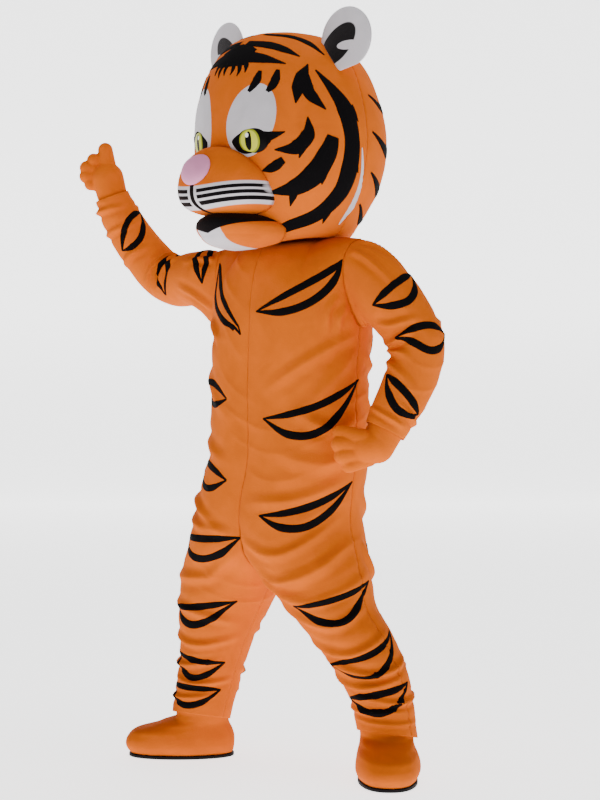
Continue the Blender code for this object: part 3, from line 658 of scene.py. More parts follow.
def inside(tree, value, limit, soft):
    """1 where value is under limit, fading over soft."""
    ends = {"From Min": limit + soft, "From Max": limit - soft, "To Min": 0.0, "To Max": 1.0}
    return node(tree, "ShaderNodeMapRange", {"Value": value, **ends}).outputs[0]


def oval(tree, x, z, cx, cz, rx, rz):
    a = calc(tree, "POWER", calc(tree, "DIVIDE", calc(tree, "SUBTRACT", x, cx), rx), 2.0)
    b = calc(tree, "POWER", calc(tree, "DIVIDE", calc(tree, "SUBTRACT", z, cz), rz), 2.0)
    return inside(tree, calc(tree, "ADD", a, b), 1.0, 0.05)


ORANGE, BLACK = (0.62, 0.118, 0.003), (0.003, 0.0025, 0.003)
WHITE, PINK, LIME = (0.56, 0.53, 0.56), (0.64, 0.25, 0.42), (0.60, 0.62, 0.05)
BAND_HEIGHT, BAND_HALF, BAND_RISE = 1.470, 0.0285, 1.0


def muzzle_masks(tree):
    x, z = local(tree)
    wide = calc(tree, "ABSOLUTE", x)
    low = calc(tree, "SUBTRACT", z, calc(tree, "MULTIPLY", calc(tree, "POWER", wide, 2.0), BAND_RISE))
    q = calc(tree, "DIVIDE", calc(tree, "SUBTRACT", low, BAND_HEIGHT), BAND_HALF)
    reach = inside(tree, wide, 0.140, 0.0006)
    white = calc(tree, "MULTIPLY", inside(tree, calc(tree, "ABSOLUTE", q), 1.0, 0.03), reach)
    off = calc(tree, "ABSOLUTE", q)
    third = calc(tree, "ABSOLUTE", calc(tree, "WRAP", q, 0.27, -0.27))
    bars = calc(tree, "MULTIPLY", inside(tree, third, 0.165, 0.02), inside(tree, off, 0.79, 0.02))
    bars = calc(tree, "MULTIPLY", bars, calc(tree, "MULTIPLY", inside(tree, wide, 0.131, 0.0006),
                calc(tree, "SUBTRACT", 1.0, inside(tree, wide, 0.017, 0.0006))))
    middle = calc(tree, "MULTIPLY", inside(tree, wide, 0.0075, 0.0005), inside(tree, off, 1.25, 0.05))
    return [(white, WHITE), (bars, BLACK), (middle, BLACK)]


def jaw_masks_with_painted_shade(tree):
    x, z = local(tree)
    wide = calc(tree, "ABSOLUTE", x)
    chin = inside(tree, wide, 0.045, 0.0008)
    # Black over the jaw's top, above a height that rises to the sides: the mouth line at the front, painted
    # shade under the muzzle towards the sides.
    top = calc(tree, "SUBTRACT", calc(tree, "ADD", 1.384, calc(tree, "MULTIPLY", wide, 0.27)), z)
    return [(chin, WHITE), (inside(tree, top, 0.0, 0.0006), BLACK)]


def eye_masks(tree):
    x, z = local(tree)
    wide = calc(tree, "ABSOLUTE", x)
    iris = oval(tree, wide, z, 0.101, 1.619, 0.0275, 0.0305)
    ring = oval(tree, wide, z, 0.101, 1.619, 0.0230, 0.0268)
    pupil = oval(tree, wide, z, 0.100, 1.619, 0.0085, 0.0235)
    glint = oval(tree, wide, z, 0.096, 1.633, 0.0048, 0.0058)
    return [(iris, (0.30, 0.33, 0.02)), (ring, LIME), (pupil, BLACK), (glint, (0.9, 0.9, 0.9))]


def ear_masks(tree):
    x, z = local(tree)
    wide = calc(tree, "ABSOLUTE", x)
    lean = calc(tree, "SUBTRACT", wide, calc(tree, "MULTIPLY", calc(tree, "SUBTRACT", z, 1.872), 0.55))
    blot = oval(tree, lean, z, 0.212, 1.878, 0.048, 0.056)
    bite = oval(tree, lean, z, 0.250, 1.876, 0.034, 0.012)
    return [(calc(tree, "MULTIPLY", blot, calc(tree, "SUBTRACT", 1.0, bite)), BLACK)]


ORANGE_PLUSH = plush("orange plush", ORANGE, sheen=0.04)
WHITE_PLUSH = plush("white plush", WHITE)
BLACK_PLUSH = plush("black plush", BLACK, sheen=0.0)
PINK_PLUSH = plush("pink plush", PINK)
MUZZLE_PLUSH = plush("muzzle plush", ORANGE, muzzle_masks, sheen=0.04)
JAW_PLUSH = plush("jaw plush", ORANGE, jaw_masks_with_painted_shade, sheen=0.04)
EAR_PLUSH = plush("ear plush", WHITE, ear_masks)
EYE_CLOTH = plush("eye cloth", BLACK, eye_masks, sheen=0.0, rough=0.35)
RUBBER = plush("sole rubber", (0.01, 0.01, 0.011), sheen=0.0, rough=0.6)
print("materials", len(bpy.data.materials))

# %% [markdown]
# Creases. Cloth on a moving body hangs from where it is held: from the raised arm, from the
# hand at the hip, from the crotch, and it stacks above the ankles. Each crease is a soft
# ridge with a hollow on each side along a bent line; none is like the next.

# %% Crease tables
# Body creases: side, from (round, height), by, to, width, rise. Round is 0 on the centre
# front, 1 on the side seam and 2 on the centre back. Past 1.15 the height counts 0 to 1
# over the shoulder.
BODY_CREASES = (
    (1, (0.95, 1.13), (0.62, 1.08), (0.20, 0.99), 0.020, 0.0065),
    (1, (0.98, 1.10), (0.72, 1.01), (0.38, 0.90), 0.023, 0.0060),
    (1, (0.92, 1.30), (0.80, 1.22), (0.76, 1.12), 0.014, 0.0060),
    (1, (0.82, 1.38), (0.70, 1.27), (0.66, 1.14), 0.013, 0.0045),
    (1, (1.05, 0.93), (0.75, 0.89), (0.40, 0.93), 0.021, 0.0050),
    (1, (1.00, 0.84), (0.66, 0.80), (0.25, 0.83), 0.024, 0.0050),
    (1, (0.90, 0.76), (0.50, 0.71), (0.10, 0.70), 0.020, 0.0055),
    (1, (0.05, 0.56), (0.45, 0.50), (0.95, 0.60), 0.020, 0.0085),
    (1, (0.02, 0.60), (0.40, 0.57), (0.90, 0.67), 0.017, 0.0060),
    (1, (0.10, 0.52), (0.55, 0.45), (1.10, 0.52), 0.018, 0.0070),
    (1, (0.15, 0.44), (0.60, 0.39), (1.00, 0.44), 0.015, 0.0060),
    (1, (0.20, 0.35), (0.60, 0.32), (1.05, 0.37), 0.014, 0.0075),
    (1, (0.30, 0.30), (0.75, 0.27), (1.25, 0.31), 0.012, 0.0080),
    (1, (0.10, 0.27), (0.55, 0.235), (1.00, 0.26), 0.011, 0.0075),
    (1, (0.45, 0.21), (0.90, 0.195), (1.40, 0.22), 0.010, 0.0065),
    (1, (0.05, 0.18), (0.50, 0.165), (0.95, 0.175), 0.010, 0.0060),
    (1, (0.30, 0.145), (0.70, 0.135), (1.20, 0.150), 0.008, 0.0045),
    (1, (1.10, 0.60), (1.25, 0.52), (1.50, 0.47), 0.018, 0.0070),
    (1, (1.15, 0.98), (1.45, 0.90), (1.80, 0.88), 0.022, 0.0060),
    (1, (1.10, 1.08), (1.40, 1.05), (1.75, 1.10), 0.020, 0.0055),
    (1, (1.20, 0.72), (1.50, 0.66), (1.90, 0.68), 0.024, 0.0070),
    (1, (1.30, 0.40), (1.60, 0.37), (1.90, 0.41), 0.014, 0.0065),
    (1, (1.20, 0.29), (1.55, 0.265), (1.85, 0.285), 0.012, 0.0070),
    (1, (1.35, 0.20), (1.65, 0.185), (1.95, 0.205), 0.010, 0.0060),
    (-1, (0.98, 1.13), (0.70, 1.16), (0.30, 1.12), 0.019, 0.0060),
    (-1, (0.95, 1.06), (0.62, 1.02), (0.22, 0.92), 0.023, 0.0055),
    (-1, (0.90, 1.25), (0.60, 1.20), (0.35, 1.10), 0.016, 0.0050),
    (-1, (0.95, 0.88), (0.60, 0.85), (0.20, 0.80), 0.021, 0.0050),
    (-1, (0.90, 0.72), (0.55, 0.69), (0.15, 0.62), 0.018, 0.0070),
    (-1, (0.03, 0.57), (0.40, 0.50), (0.85, 0.49), 0.019, 0.0075),
    (-1, (0.08, 0.62), (0.40, 0.63), (0.80, 0.66), 0.017, 0.0055),
    (-1, (0.90, 0.43), (0.50, 0.40), (0.15, 0.37), 0.016, 0.0060),
    (-1, (0.85, 0.335), (0.45, 0.31), (0.10, 0.33), 0.013, 0.0075),
    (-1, (1.10, 0.27), (0.60, 0.25), (0.20, 0.27), 0.011, 0.0075),
    (-1, (0.75, 0.215), (0.40, 0.20), (0.02, 0.215), 0.010, 0.0065),
    (-1, (1.00, 0.165), (0.55, 0.155), (0.15, 0.17), 0.009, 0.0055),
    (-1, (1.20, 1.05), (1.50, 0.98), (1.90, 0.97), 0.022, 0.0060),
    (-1, (1.15, 0.85), (1.50, 0.80), (1.85, 0.76), 0.021, 0.0055),
    (-1, (1.20, 0.56), (1.50, 0.50), (1.90, 0.55), 0.018, 0.0070),
    (-1, (1.15, 0.36), (1.50, 0.33), (1.90, 0.35), 0.014, 0.0065),
    (-1, (1.25, 0.24), (1.60, 0.225), (1.90, 0.24), 0.011, 0.0065),
    (-1, (1.05, 0.18), (1.45, 0.17), (1.80, 0.185), 0.010, 0.0055),
)
# Sleeve creases: side, three (ring angle in degrees, place to the cuff), width, rise.
SLEEVE_CREASES = (
    (1, (20, 0.04), (0, 0.14), (-25, 0.24), 0.010, 0.0055),
    (1, (60, 0.05), (50, 0.16), (40, 0.30), 0.012, 0.0050),
    (1, (120, 0.34), (90, 0.40), (30, 0.44), 0.013, 0.0075),
    (1, (170, 0.42), (110, 0.48), (50, 0.46), 0.012, 0.0080),
    (1, (200, 0.47), (140, 0.55), (70, 0.60), 0.012, 0.0075),
    (1, (160, 0.60), (110, 0.66), (40, 0.72), 0.013, 0.0055),
    (1, (60, 0.80), (10, 0.83), (-60, 0.86), 0.010, 0.0055),
    (1, (150, 0.88), (80, 0.90), (10, 0.92), 0.009, 0.0050),
    (1, (250, 0.38), (290, 0.45), (340, 0.47), 0.014, 0.0060),
    (1, (220, 0.66), (270, 0.70), (320, 0.76), 0.013, 0.0050),
    (-1, (150, 0.06), (130, 0.18), (110, 0.30), 0.014, 0.0065),
    (-1, (60, 0.05), (50, 0.15), (60, 0.27), 0.012, 0.0055),
    (-1, (30, 0.34), (60, 0.42), (120, 0.47), 0.013, 0.0070),
    (-1, (0, 0.44), (60, 0.50), (130, 0.50), 0.012, 0.0085),
    (-1, (-20, 0.52), (50, 0.56), (120, 0.54), 0.011, 0.0080),
    (-1, (20, 0.66), (80, 0.70), (150, 0.67), 0.012, 0.0060),
    (-1, (0, 0.80), (90, 0.82), (180, 0.80), 0.010, 0.0060),
    (-1, (20, 0.90), (110, 0.915), (200, 0.90), 0.010, 0.0070),
    (-1, (200, 0.30), (240, 0.40), (280, 0.46), 0.014, 0.0060),
    (-1, (200, 0.85), (260, 0.87), (330, 0.85), 0.010, 0.0060),
)


def body_plain(side, k, w):
    """Suit at k round from the centre front (0) by the side seam (1) to the back (2)."""
    front = panel_point(side, True, np.clip(k, 0, 1), w)
    back = panel_point(side, False, np.clip(2 - k, 0, 1), w)
    return np.where((np.asarray(k) <= 1)[..., None], front, back)


def body_normal(side, k, w):
    front = panel_normal(side, True, np.clip(k, 0, 1), w)
    back = panel_normal(side, False, np.clip(2 - k, 0, 1), w)
    return np.where((np.asarray(k) <= 1)[..., None], front, back)


def sleeve_plain(side, turn, s):
    """Sleeve at a ring angle in degrees and a place from armhole to cuff."""
    rows = SLEEVE_GRID[side]
    count = rows.shape[1]
    i = np.clip(s, 0, 1) * (rows.shape[0] - 1)
    j = np.mod(turn, 360) / 360 * count
    i0 = np.minimum(i.astype(int), rows.shape[0] - 2)
    j0 = j.astype(int) % count
    a, b = (i - i0)[..., None], (j - np.floor(j))[..., None]
    j1 = (j0 + 1) % count
    return (rows[i0, j0] * (1 - a) * (1 - b) + rows[i0, j1] * (1 - a) * b
            + rows[i0 + 1, j0] * a * (1 - b) + rows[i0 + 1, j1] * a * b)


SLEEVE_GRID = {side: sleeve_grid(side, 160, 128, 0.0) + np.array([side * GAP, 0, 0]) for side in (1, -1)}
CREASE_DEPTH, CREASE_WIDTH = 1.35, 0.72
LINES = []
for side, a, b, c, width, rise in BODY_CREASES:
    uv = path([a, b, c], 14)
    LINES.append((body_plain(side, uv[:, 0], uv[:, 1]), width, rise))
for side, a, b, c, width, rise in SLEEVE_CREASES:
    uv = path([a, b, c], 14)
    LINES.append((sleeve_plain(side, uv[:, 0], uv[:, 1]), width, rise))


def crease_height(p):
    """Height of all creases at these points: a bell across each line less a hollow beside
    it, fading to its two ends, over a slow uneven swell and fine wrinkles of the cloth.
    The wrinkles are sharp ridges, 1 - |sin|, run slantwise and broken by a slow wave."""
    flat = p.reshape(-1, 3)
    total = np.zeros(len(flat))
    for line, width, rise in LINES:
        reach = 0.5 * np.linalg.norm(line[-1] - line[0]) + 0.14
        near = np.linalg.norm(flat - line.mean(axis=0), axis=1) < reach
        q = flat[near]
        if len(q) == 0:
            continue
        best, place = np.full(len(q), 9.0), np.zeros(len(q))
        for n in range(len(line) - 1):
            a, d = line[n], line[n + 1] - line[n]
            t = np.clip(((q - a) @ d) / (d @ d), 0, 1)
            far = np.linalg.norm(q - a - t[:, None] * d, axis=1)
            closer = far < best
            best = np.where(closer, far, best)
            place = np.where(closer, (n + t) / (len(line) - 1), place)
        fade = np.sin(math.pi * np.clip(place, 0.02, 0.98)) ** 0.7
        across = best / (CREASE_WIDTH * width)
        bell = np.exp(-np.abs(across) ** 1.35) - 0.55 * np.exp(-((across - 1.7) ** 2))
        total[near] += CREASE_DEPTH * rise * fade * bell
    x, y, z = flat.T
    swell = (np.sin(23 * x + 9 * z + 1.3) * np.sin(19 * y - 14 * z) + 0.7 * np.sin(41 * z + 17 * x)
             * np.sin(31 * x - 13 * y + 0.7) + 0.35 * np.sin(90 * z + 30 * y) * np.sin(70 * x + 20))
    bend = 0.8 * np.sin(11 * x + 5 * y + 2.0) + 0.6 * np.sin(13 * z - 7 * y)
    ridge = (1 - np.abs(np.sin(38 * z + 13 * x - 9 * y + 2.2 * bend))) ** 2.5
    broken = np.clip(np.sin(17 * x - 12 * y + 6 * z + bend) + 0.25 * np.sin(33 * z + 21 * y), 0, 1)
    return (total + 0.0011 * swell + 0.0028 * ridge * broken).reshape(p.shape[:-1])


def seam_dip(distance, along):
    """A sewn seam pulls the cloth in, and puckers a little between stitches."""
    return -0.0022 * np.exp(-((distance / 0.0045) ** 2)) * (1 + 0.35 * np.sin(along * 2 * math.pi / 0.019))


CLOTH_LIFT = 0.0008
HALF_GIRTH = 0.36         # from the centre line to the side seam, about
CLOTH_THICK = 0.0022


def body_cloth(side, k, w):
    """The creased suit cloth."""
    k, w = np.broadcast_arrays(np.asarray(k, float), np.asarray(w, float))
    p = body_plain(side, k, w)
    edge = np.minimum(np.abs(k - 1), np.minimum(k, 2 - k)) * HALF_GIRTH
    hem = np.clip((w - LEGS[side][0][0]) / 0.02, 0, 1)
    centre = np.where(np.minimum(k, 2 - k) < np.abs(k - 1), 0.08, 1.0)
    rise = crease_height(p) * hem + centre * seam_dip(edge, w)
    yoke = np.clip((w - UNDERARM) / 0.2, 0, 1) * np.clip(1 - np.abs(k - 1) / 0.12, 0, 1)
    rise = rise * (1 - 0.75 * yoke)
    return p + body_normal(side, k, w) * (rise + CLOTH_LIFT)[..., None]


def sleeve_cloth(side, turn, s):
    """The creased sleeve cloth."""
    turn, s = np.broadcast_arrays(np.asarray(turn, float), np.asarray(s, float))
    p = sleeve_plain(side, turn, s)
    e = 0.004
    a = sleeve_plain(side, turn + 1.5, s) - sleeve_plain(side, turn - 1.5, s)
    b = sleeve_plain(side, turn, np.clip(s + e, 0, 1)) - sleeve_plain(side, turn, np.clip(s - e, 0, 1))
    n = unit(np.cross(a, b)) * side
    centre = SLEEVE_GRID[side].mean(axis=1)
    mid = centre[np.clip((s * 159).astype(int), 0, 159)]
    n = n * np.sign((n * (p - mid)).sum(-1))[..., None]
    rise = crease_height(p) * np.clip(s / 0.05, 0, 1) + seam_dip(s * 0.5, turn * 0.0014)
    return p + n * (rise + CLOTH_LIFT)[..., None]


print("creases", len(LINES))

# %% [markdown]
# The suit panels: plush cut in four, sewn on the centre lines, sides and inside legs. Each
# panel is a fine grid of the creased surface with a little thickness at its edges.

# %% Suit panels
# Lengths of the cut pieces, and the share of its box that a tapering piece fills.
PANEL_LENGTH, SLEEVE_LENGTH, TAPER = 1.34, {1: 0.56, -1: 0.62}, 0.86
suit = {}
for side, hand in ((1, "left"), (-1, "right")):
    for front, face in ((True, "front"), (False, "back")):
        k = np.linspace(0, 1, 76) if front else np.linspace(2, 1, 76)
        low = np.linspace(LEGS[side][0][0], UNDERARM, 215)
        w = np.concatenate([low, UNDERARM + np.linspace(0, 1, 60)[1:]])
        kk, ww = np.meshgrid(k, w)
        shape = body_cloth(side, kk, ww) + np.array([side * GAP * 0.5, (-1 if front else 1) * GAP * 0.5, 0])
        flip = front == (side > 0)
        piece = grid_mesh(f"cloth_{face}_{hand}", shape if flip else shape[:, ::-1], [ORANGE_PLUSH])
        thicken(piece, CLOTH_THICK)
        node_name = f"suit_{face}_{hand}"
        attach(piece, "root")
        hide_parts(node_name)
        flat = area_of(body_plain(side, kk, ww))
        width = round(flat / PANEL_LENGTH / TAPER, 3)
        suit[node_name] = piece
print("panels", {n: len(o.data.polygons) for n, o in suit.items()})

# %% [markdown]
# Sleeves: one piece each, set in the armhole, the left bent to bring the hand to the hip and
# the right raised. Their cloth bunches at the elbow and above the glove.

# %% Sleeves
for side, hand in ((1, "left"), (-1, "right")):
    tt, ss = np.meshgrid(np.linspace(0, 360, 108, endpoint=False), np.linspace(0, 1, 130))
    shape = sleeve_cloth(side, tt, ss)
    shape = shape if side > 0 else shape[:, ::-1]
    piece = grid_mesh(f"cloth_sleeve_{hand}", shape, [ORANGE_PLUSH], closed=True)
    thicken(piece, CLOTH_THICK)
    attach(piece, "root")
    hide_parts(f"sleeve_{hand}")
    flat = area_of(SLEEVE_GRID[side], closed=True)
print("sleeves done")

# %% [markdown]
# Markings are black plush sewn flat on the orange: on the suit each is a long outline of a
# leaf, open in the middle. A band follows a path on a surface, with its width measured
# across it in metres, and is laid 1 mm above the cloth with a sewn edge.

# %% Bands and patches
def lay(surface, u, v, across, along, lift, step):
    """Points of a surface reached from (u, v) by metric steps along and across."""
    eu, ev = step
    p = surface(u, v)
    du = (surface(u + eu, v) - surface(u - eu, v)) / (2 * eu)
    dv = (surface(u, v + ev) - surface(u, v - ev)) / (2 * ev)
    want = along + across
    a, b, c = (du * du).sum(-1), (du * dv).sum(-1), (dv * dv).sum(-1)
    r, s = (want * du).sum(-1), (want * dv).sum(-1)
    det = np.maximum(a * c - b * b, 1e-12)
    uu, vv = u + (c * r - b * s) / det, v + (a * s - b * r) / det
    q = surface(uu, vv)
    n = normals_of(surface, uu, vv, eu, ev)
    return q + n * lift[..., None]


BAND_LIFT = 0.0012


def band(surface, points, widths, step, out=1, lift=BAND_LIFT, count=64):
    """A band of cloth along a path; widths are its full widths along the way."""
    uv = path(points, count)
    wide = np.interp(np.linspace(0, 1, count), np.linspace(0, 1, len(widths)), widths)
    line = surface(uv[:, 0], uv[:, 1])
    tangent = unit(np.gradient(line, axis=0))
    normal = normals_of(surface, uv[:, 0], uv[:, 1], *step) * out
    cross = np.cross(normal, tangent)
    t = np.array([-1, -1, -0.72, -0.3, 0.0, 0.3, 0.72, 1, 1.0])
    rise = np.array([-0.3, 0.45, 1.0, 1.0, 1.0, 1.0, 1.0, 0.45, -0.3]) * lift * out
    u = np.repeat(uv[:, :1], len(t), 1)
    v = np.repeat(uv[:, 1:], len(t), 1)
    across = cross[:, None, :] * (wide[:, None] / 2 * t[None, :])[..., None]
    shape = lay(surface, u, v, across, 0 * across, np.broadcast_to(rise, u.shape), step)
    flip = shape if out > 0 else shape[:, ::-1]
    return flip.reshape(-1, 3), count, len(t)


def sew(name, bands, mat):
    """Join bands of one cloth into one piece."""
    piece = joined_mesh(name, bands, mat)
    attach(piece, "root")


# The leaves that the photograph shows have their tips and one edge point read off it.
# Leaves on the body: side, first tip, second tip, sag of the two edges as a share of the
# length (towards lower heights), band width.
BODY_LEAVES = (
    (-1, (0.85, 1.73), (0.08, 1.13), (-0.11, 0.23), 0.0185),
    (1, (0.07, 1.26), (0.98, 1.69), (0.00, 0.34), 0.0205),
    (-1, (0.22, 0.966), (0.75, 1.00), (-0.14, 0.16), 0.0180),
    (1, (0.16, 0.915), (1.02, 1.015), (0.06, 0.27), 0.0205),
    (-1, (0.16, 0.755), (0.70, 0.80), (-0.06, 0.22), 0.0180),
    (1, (0.22, 0.668), (0.98, 0.755), (0.07, 0.24), 0.0205),
    (-1, (0.72, 0.600), (0.00, 0.607), (0.02, 0.24), 0.0205),
    (-1, (0.75, 0.410), (0.20, 0.432), (0.04, 0.30), 0.0205),
    (-1, (0.78, 0.285), (0.15, 0.262), (0.03, 0.26), 0.0180),
    (-1, (0.80, 0.190), (0.12, 0.185), (0.00, 0.24), 0.0180),
    (1, (0.42, 0.435), (1.08, 0.500), (0.04, 0.26), 0.0205),
    (1, (0.34, 0.292), (1.15, 0.372), (0.05, 0.21), 0.0185),
    (1, (0.30, 0.200), (1.08, 0.246), (0.02, 0.20), 0.0205),
    (1, (1.28, 1.120), (1.86, 1.040), (0.04, 0.24), 0.0195),
    (-1, (1.24, 1.100), (1.82, 1.040), (0.04, 0.24), 0.0195),
    (1, (1.22, 0.860), (1.84, 0.800), (0.04, 0.24), 0.0195),
    (-1, (1.22, 0.850), (1.84, 0.800), (0.04, 0.24), 0.0195),
    (1, (1.24, 0.590), (1.82, 0.560), (0.03, 0.24), 0.0195),
    (-1, (1.22, 0.600), (1.82, 0.570), (0.03, 0.24), 0.0195),
    (1, (1.22, 0.410), (1.78, 0.375), (0.03, 0.24), 0.0195),
    (-1, (1.22, 0.390), (1.78, 0.380), (0.03, 0.24), 0.0195),
    (1, (1.24, 0.215), (1.80, 0.210), (0.02, 0.22), 0.0180),
    (-1, (1.22, 0.250), (1.80, 0.240), (0.02, 0.22), 0.0180),
)
# Leaves on the sleeves: side, tips (ring angle, place), edge bow in places, band width.
SLEEVE_LEAVES = (
    (1, (98, 0.27), (-20, 0.27), (0.005, 0.085), 0.0195),
    (1, (95, 0.46), (-30, 0.50), (-0.012, 0.080), 0.0195),
    (1, (120, 0.70), (-10, 0.80), (-0.005, 0.085), 0.0195),
    (1, (300, 0.36), (200, 0.40), (0.0, 0.075), 0.0180),
    (1, (310, 0.66), (210, 0.70), (0.0, 0.075), 0.0180),
    (-1, (100, 0.735), (-30, 0.83), (-0.045, 0.045), 0.0180),
    (-1, (125, 0.42), (-20, 0.47), (-0.050, 0.040), 0.0180),
    (-1, (105, 0.13), (0, 0.25), (-0.045, 0.035), 0.0180),
    (-1, (300, 0.33), (200, 0.36), (0.0, 0.075), 0.0180),
    (-1, (310, 0.70), (210, 0.72), (0.0, 0.075), 0.0180),
)
TIP_WIDTH = 0.004
BOW_AT = (0.25, 0.5, 0.75)      # where along a leaf its bowed edge is set
# Small steps along each surface's two parameters, for slopes and normals.
BODY_STEP, SLEEVE_STEP, HEAD_STEP = (0.004, 0.0015), (1.0, 0.004), (0.6, 0.002)
bands = []
for side, a, b, bows, width in BODY_LEAVES:
    a, b = np.array(a), np.array(b)
    size = abs(b[0] - a[0]) * 0.33 + abs(b[1] - a[1]) * 0.4
    for n, bow in enumerate(bows):
        middle = [a + (b - a) * t + np.array([0, -bow * size * math.sin(math.pi * t) ** 0.9]) for t in BOW_AT]
        thin = 0.45 if n == 0 else 1.0
        widths = [TIP_WIDTH, width * (0.75 + 0.25 * thin), width, width * (0.8 + 0.2 * thin), TIP_WIDTH]
        cloth = lambda k, w, s=side: body_cloth(s, k, w)
        bands.append(band(cloth, [a, *middle, b], widths, BODY_STEP, out=side))
for side, a, b, bows, width in SLEEVE_LEAVES:
    a, b = np.array(a, float), np.array(b, float)
    for bow in bows:
        middle = [a + (b - a) * t + np.array([0, bow * math.sin(math.pi * t)]) for t in BOW_AT]
        widths = [TIP_WIDTH, width, width, width, TIP_WIDTH]
        cloth = lambda t, s, d=side: sleeve_cloth(d, t, s)
        bands.append(band(cloth, [a, *middle, b], widths, SLEEVE_STEP, out=side))
sew("suit_markings", bands, BLACK_PLUSH)
print("suit markings", len(bands))

# %% [markdown]
# The head: two halves of foam covered in plush, meeting on a seam behind the ears. A dart
# shapes each temple. The head's markings lie on the same surface.

# %% Head halves
def head_t(z):
    """Place on the profile for a height from the floor."""
    t = np.linspace(0, 1, 600)
    return np.interp(z, head_ring(t)[1], t)


def head_cloth(angle, z):
    """Plush of the head at an angle in degrees from the face and a height."""
    return head_skin(np.radians(angle), head_t(z))


def head_skin(a, t):
    p = head_local(a, t)
    x, y, z = p[..., 0], p[..., 1], p[..., 2]
    swell = 0.0012 * np.sin(17 * x + 5 * z) * np.sin(21 * z + 11 * y)
    swell = swell + 0.0006 * np.sin(60 * x + 20 * z) * np.sin(50 * y + 37 * z)
    seam = np.abs(np.abs(np.angle(np.exp(1j * a))) - FACE_EDGE) * 0.25 * np.clip(np.hypot(x, y) / 0.2, 0.1, 1)
    n = unit(np.stack([x / HEAD_WIDTH**2, y / HEAD_DEPTH**2, (z - 1.62) / 0.30**2], -1))
    dart = np.exp(-(((z - 1.668) / 0.003) ** 2)) * np.clip(1 - np.abs(np.abs(np.degrees(a)) - 62) / 26, 0, 1)
    rise = swell + seam_dip(seam, z) - 0.0014 * dart + CLOTH_LIFT
    return place_head(p + n * rise[..., None])


HEAD_HALVES = (
    # name, first and last angle, columns
    ("head_face", -FACE_EDGE, FACE_EDGE, 170),
    ("head_back", FACE_EDGE, 2 * math.pi - FACE_EDGE, 150),
)
for name, start, end, count in HEAD_HALVES:
    aa, tt = np.meshgrid(np.linspace(start, end, count), np.linspace(0, 1, 130))
    piece = grid_mesh("plush_" + name, head_skin(aa, tt), [ORANGE_PLUSH])
    thicken(piece, 0.008)
    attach(piece, "root")
    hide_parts(name)

# Marks of the head. All up to 100 degrees have their places read off the photograph.
HEAD_BANDS = (
    # path of (angle, height), widths in metres; marks with short teeth at their edges
    (((-1, 1.845), (16, 1.836), (28, 1.830), (43, 1.818)), (0.030, 0.036, 0.026, 0.003)),
    (((4, 1.880), (28, 1.870), (42, 1.857), (53, 1.840)), (0.020, 0.028, 0.022, 0.003)),
    (((12, 1.908), (46, 1.900), (63, 1.881), (73, 1.850)), (0.014, 0.024, 0.021, 0.003)),
    (((-1, 1.862), (9, 1.858), (18, 1.850)), (0.040, 0.036, 0.020)),
    (((-1, 1.830), (8, 1.828), (15, 1.822)), (0.036, 0.034, 0.018)),
    (((3, 1.826), (4, 1.806), (3, 1.790)), (0.016, 0.013, 0.002)),
    (((8, 1.826), (10, 1.804), (9, 1.786)), (0.016, 0.013, 0.002)),
    (((13, 1.828), (15, 1.812), (15, 1.794)), (0.016, 0.014, 0.002)),
    (((20, 1.744), (24, 1.768), (26, 1.798)), (0.012, 0.023, 0.024, 0.010)),
    (((32, 1.744), (36, 1.768), (38, 1.801)), (0.012, 0.023, 0.024, 0.010)),
    (((58, 1.820), (52, 1.772), (49, 1.717)), (0.003, 0.034, 0.034, 0.003)),
    (((56, 1.792), (57, 1.748), (67, 1.706)), (0.016, 0.034, 0.030, 0.003)),
    (((63, 1.806), (73, 1.758), (80, 1.712), (84, 1.640), (84, 1.566), (80, 1.486), (67, 1.432), (44, 1.407),
      (22, 1.391)),
     (0.004, 0.030, 0.050, 0.046, 0.052, 0.048, 0.038, 0.028, 0.012)),
    (((84, 1.722), (89, 1.684)), (0.022, 0.016, 0.002)),
    (((86, 1.592), (91, 1.553)), (0.022, 0.016, 0.002)),
    (((76, 1.455), (74, 1.412)), (0.026, 0.018, 0.002)),
    (((56, 1.684), (56, 1.640), (49, 1.606), (37, 1.598)), (0.003, 0.036, 0.036, 0.003)),
    (((54, 1.620), (51, 1.580)), (0.026, 0.016, 0.002)),
    (((71, 1.640), (68, 1.597), (60, 1.536), (48, 1.499), (31, 1.485)), (0.032, 0.050, 0.056, 0.042, 0.003)),
    (((66, 1.550), (66, 1.511)), (0.028, 0.018, 0.002)),
    (((49, 1.495), (46, 1.452)), (0.026, 0.018, 0.002)),
    (((29, 1.543), (36, 1.554), (42, 1.574)), (0.003, 0.022, 0.026, 0.018)),
    (((28, 1.628), (36, 1.634), (43, 1.644)), (0.040, 0.020, 0.002)),
    (((104, 1.760), (126, 1.735), (150, 1.760)), (0.005, 0.030, 0.004)),
    (((102, 1.665), (126, 1.625), (156, 1.645)), (0.005, 0.036, 0.004)),
    (((104, 1.560), (128, 1.515), (154, 1.535)), (0.005, 0.036, 0.004)),
    (((104, 1.468), (124, 1.430), (146, 1.440)), (0.005, 0.026, 0.004)),
)
bands = []
for points, widths in HEAD_BANDS:
    for mirror in (1, -1):
        line = [(mirror * a, z) for a, z in points]
        bands.append(band(head_cloth, line, widths, HEAD_STEP))
for spot, top in ((180, 1.84), (180, 1.70)):
    line = [(spot, top), (spot, top - 0.05), (spot, top - 0.10)]
    bands.append(band(head_cloth, line, (0.004, 0.026, 0.004), HEAD_STEP))
sew("head_markings", bands, BLACK_PLUSH)
PALE_EDGE = ((92, 1.620), (95.5, 1.535), (96, 1.455), (91, 1.412))
white = [band(head_cloth, [(m * angle, z) for angle, z in PALE_EDGE], (0.003, 0.014, 0.022, 0.003), HEAD_STEP,
              lift=0.0006) for m in (1, -1)]
sew("head_pale_edges", white, WHITE_PLUSH)


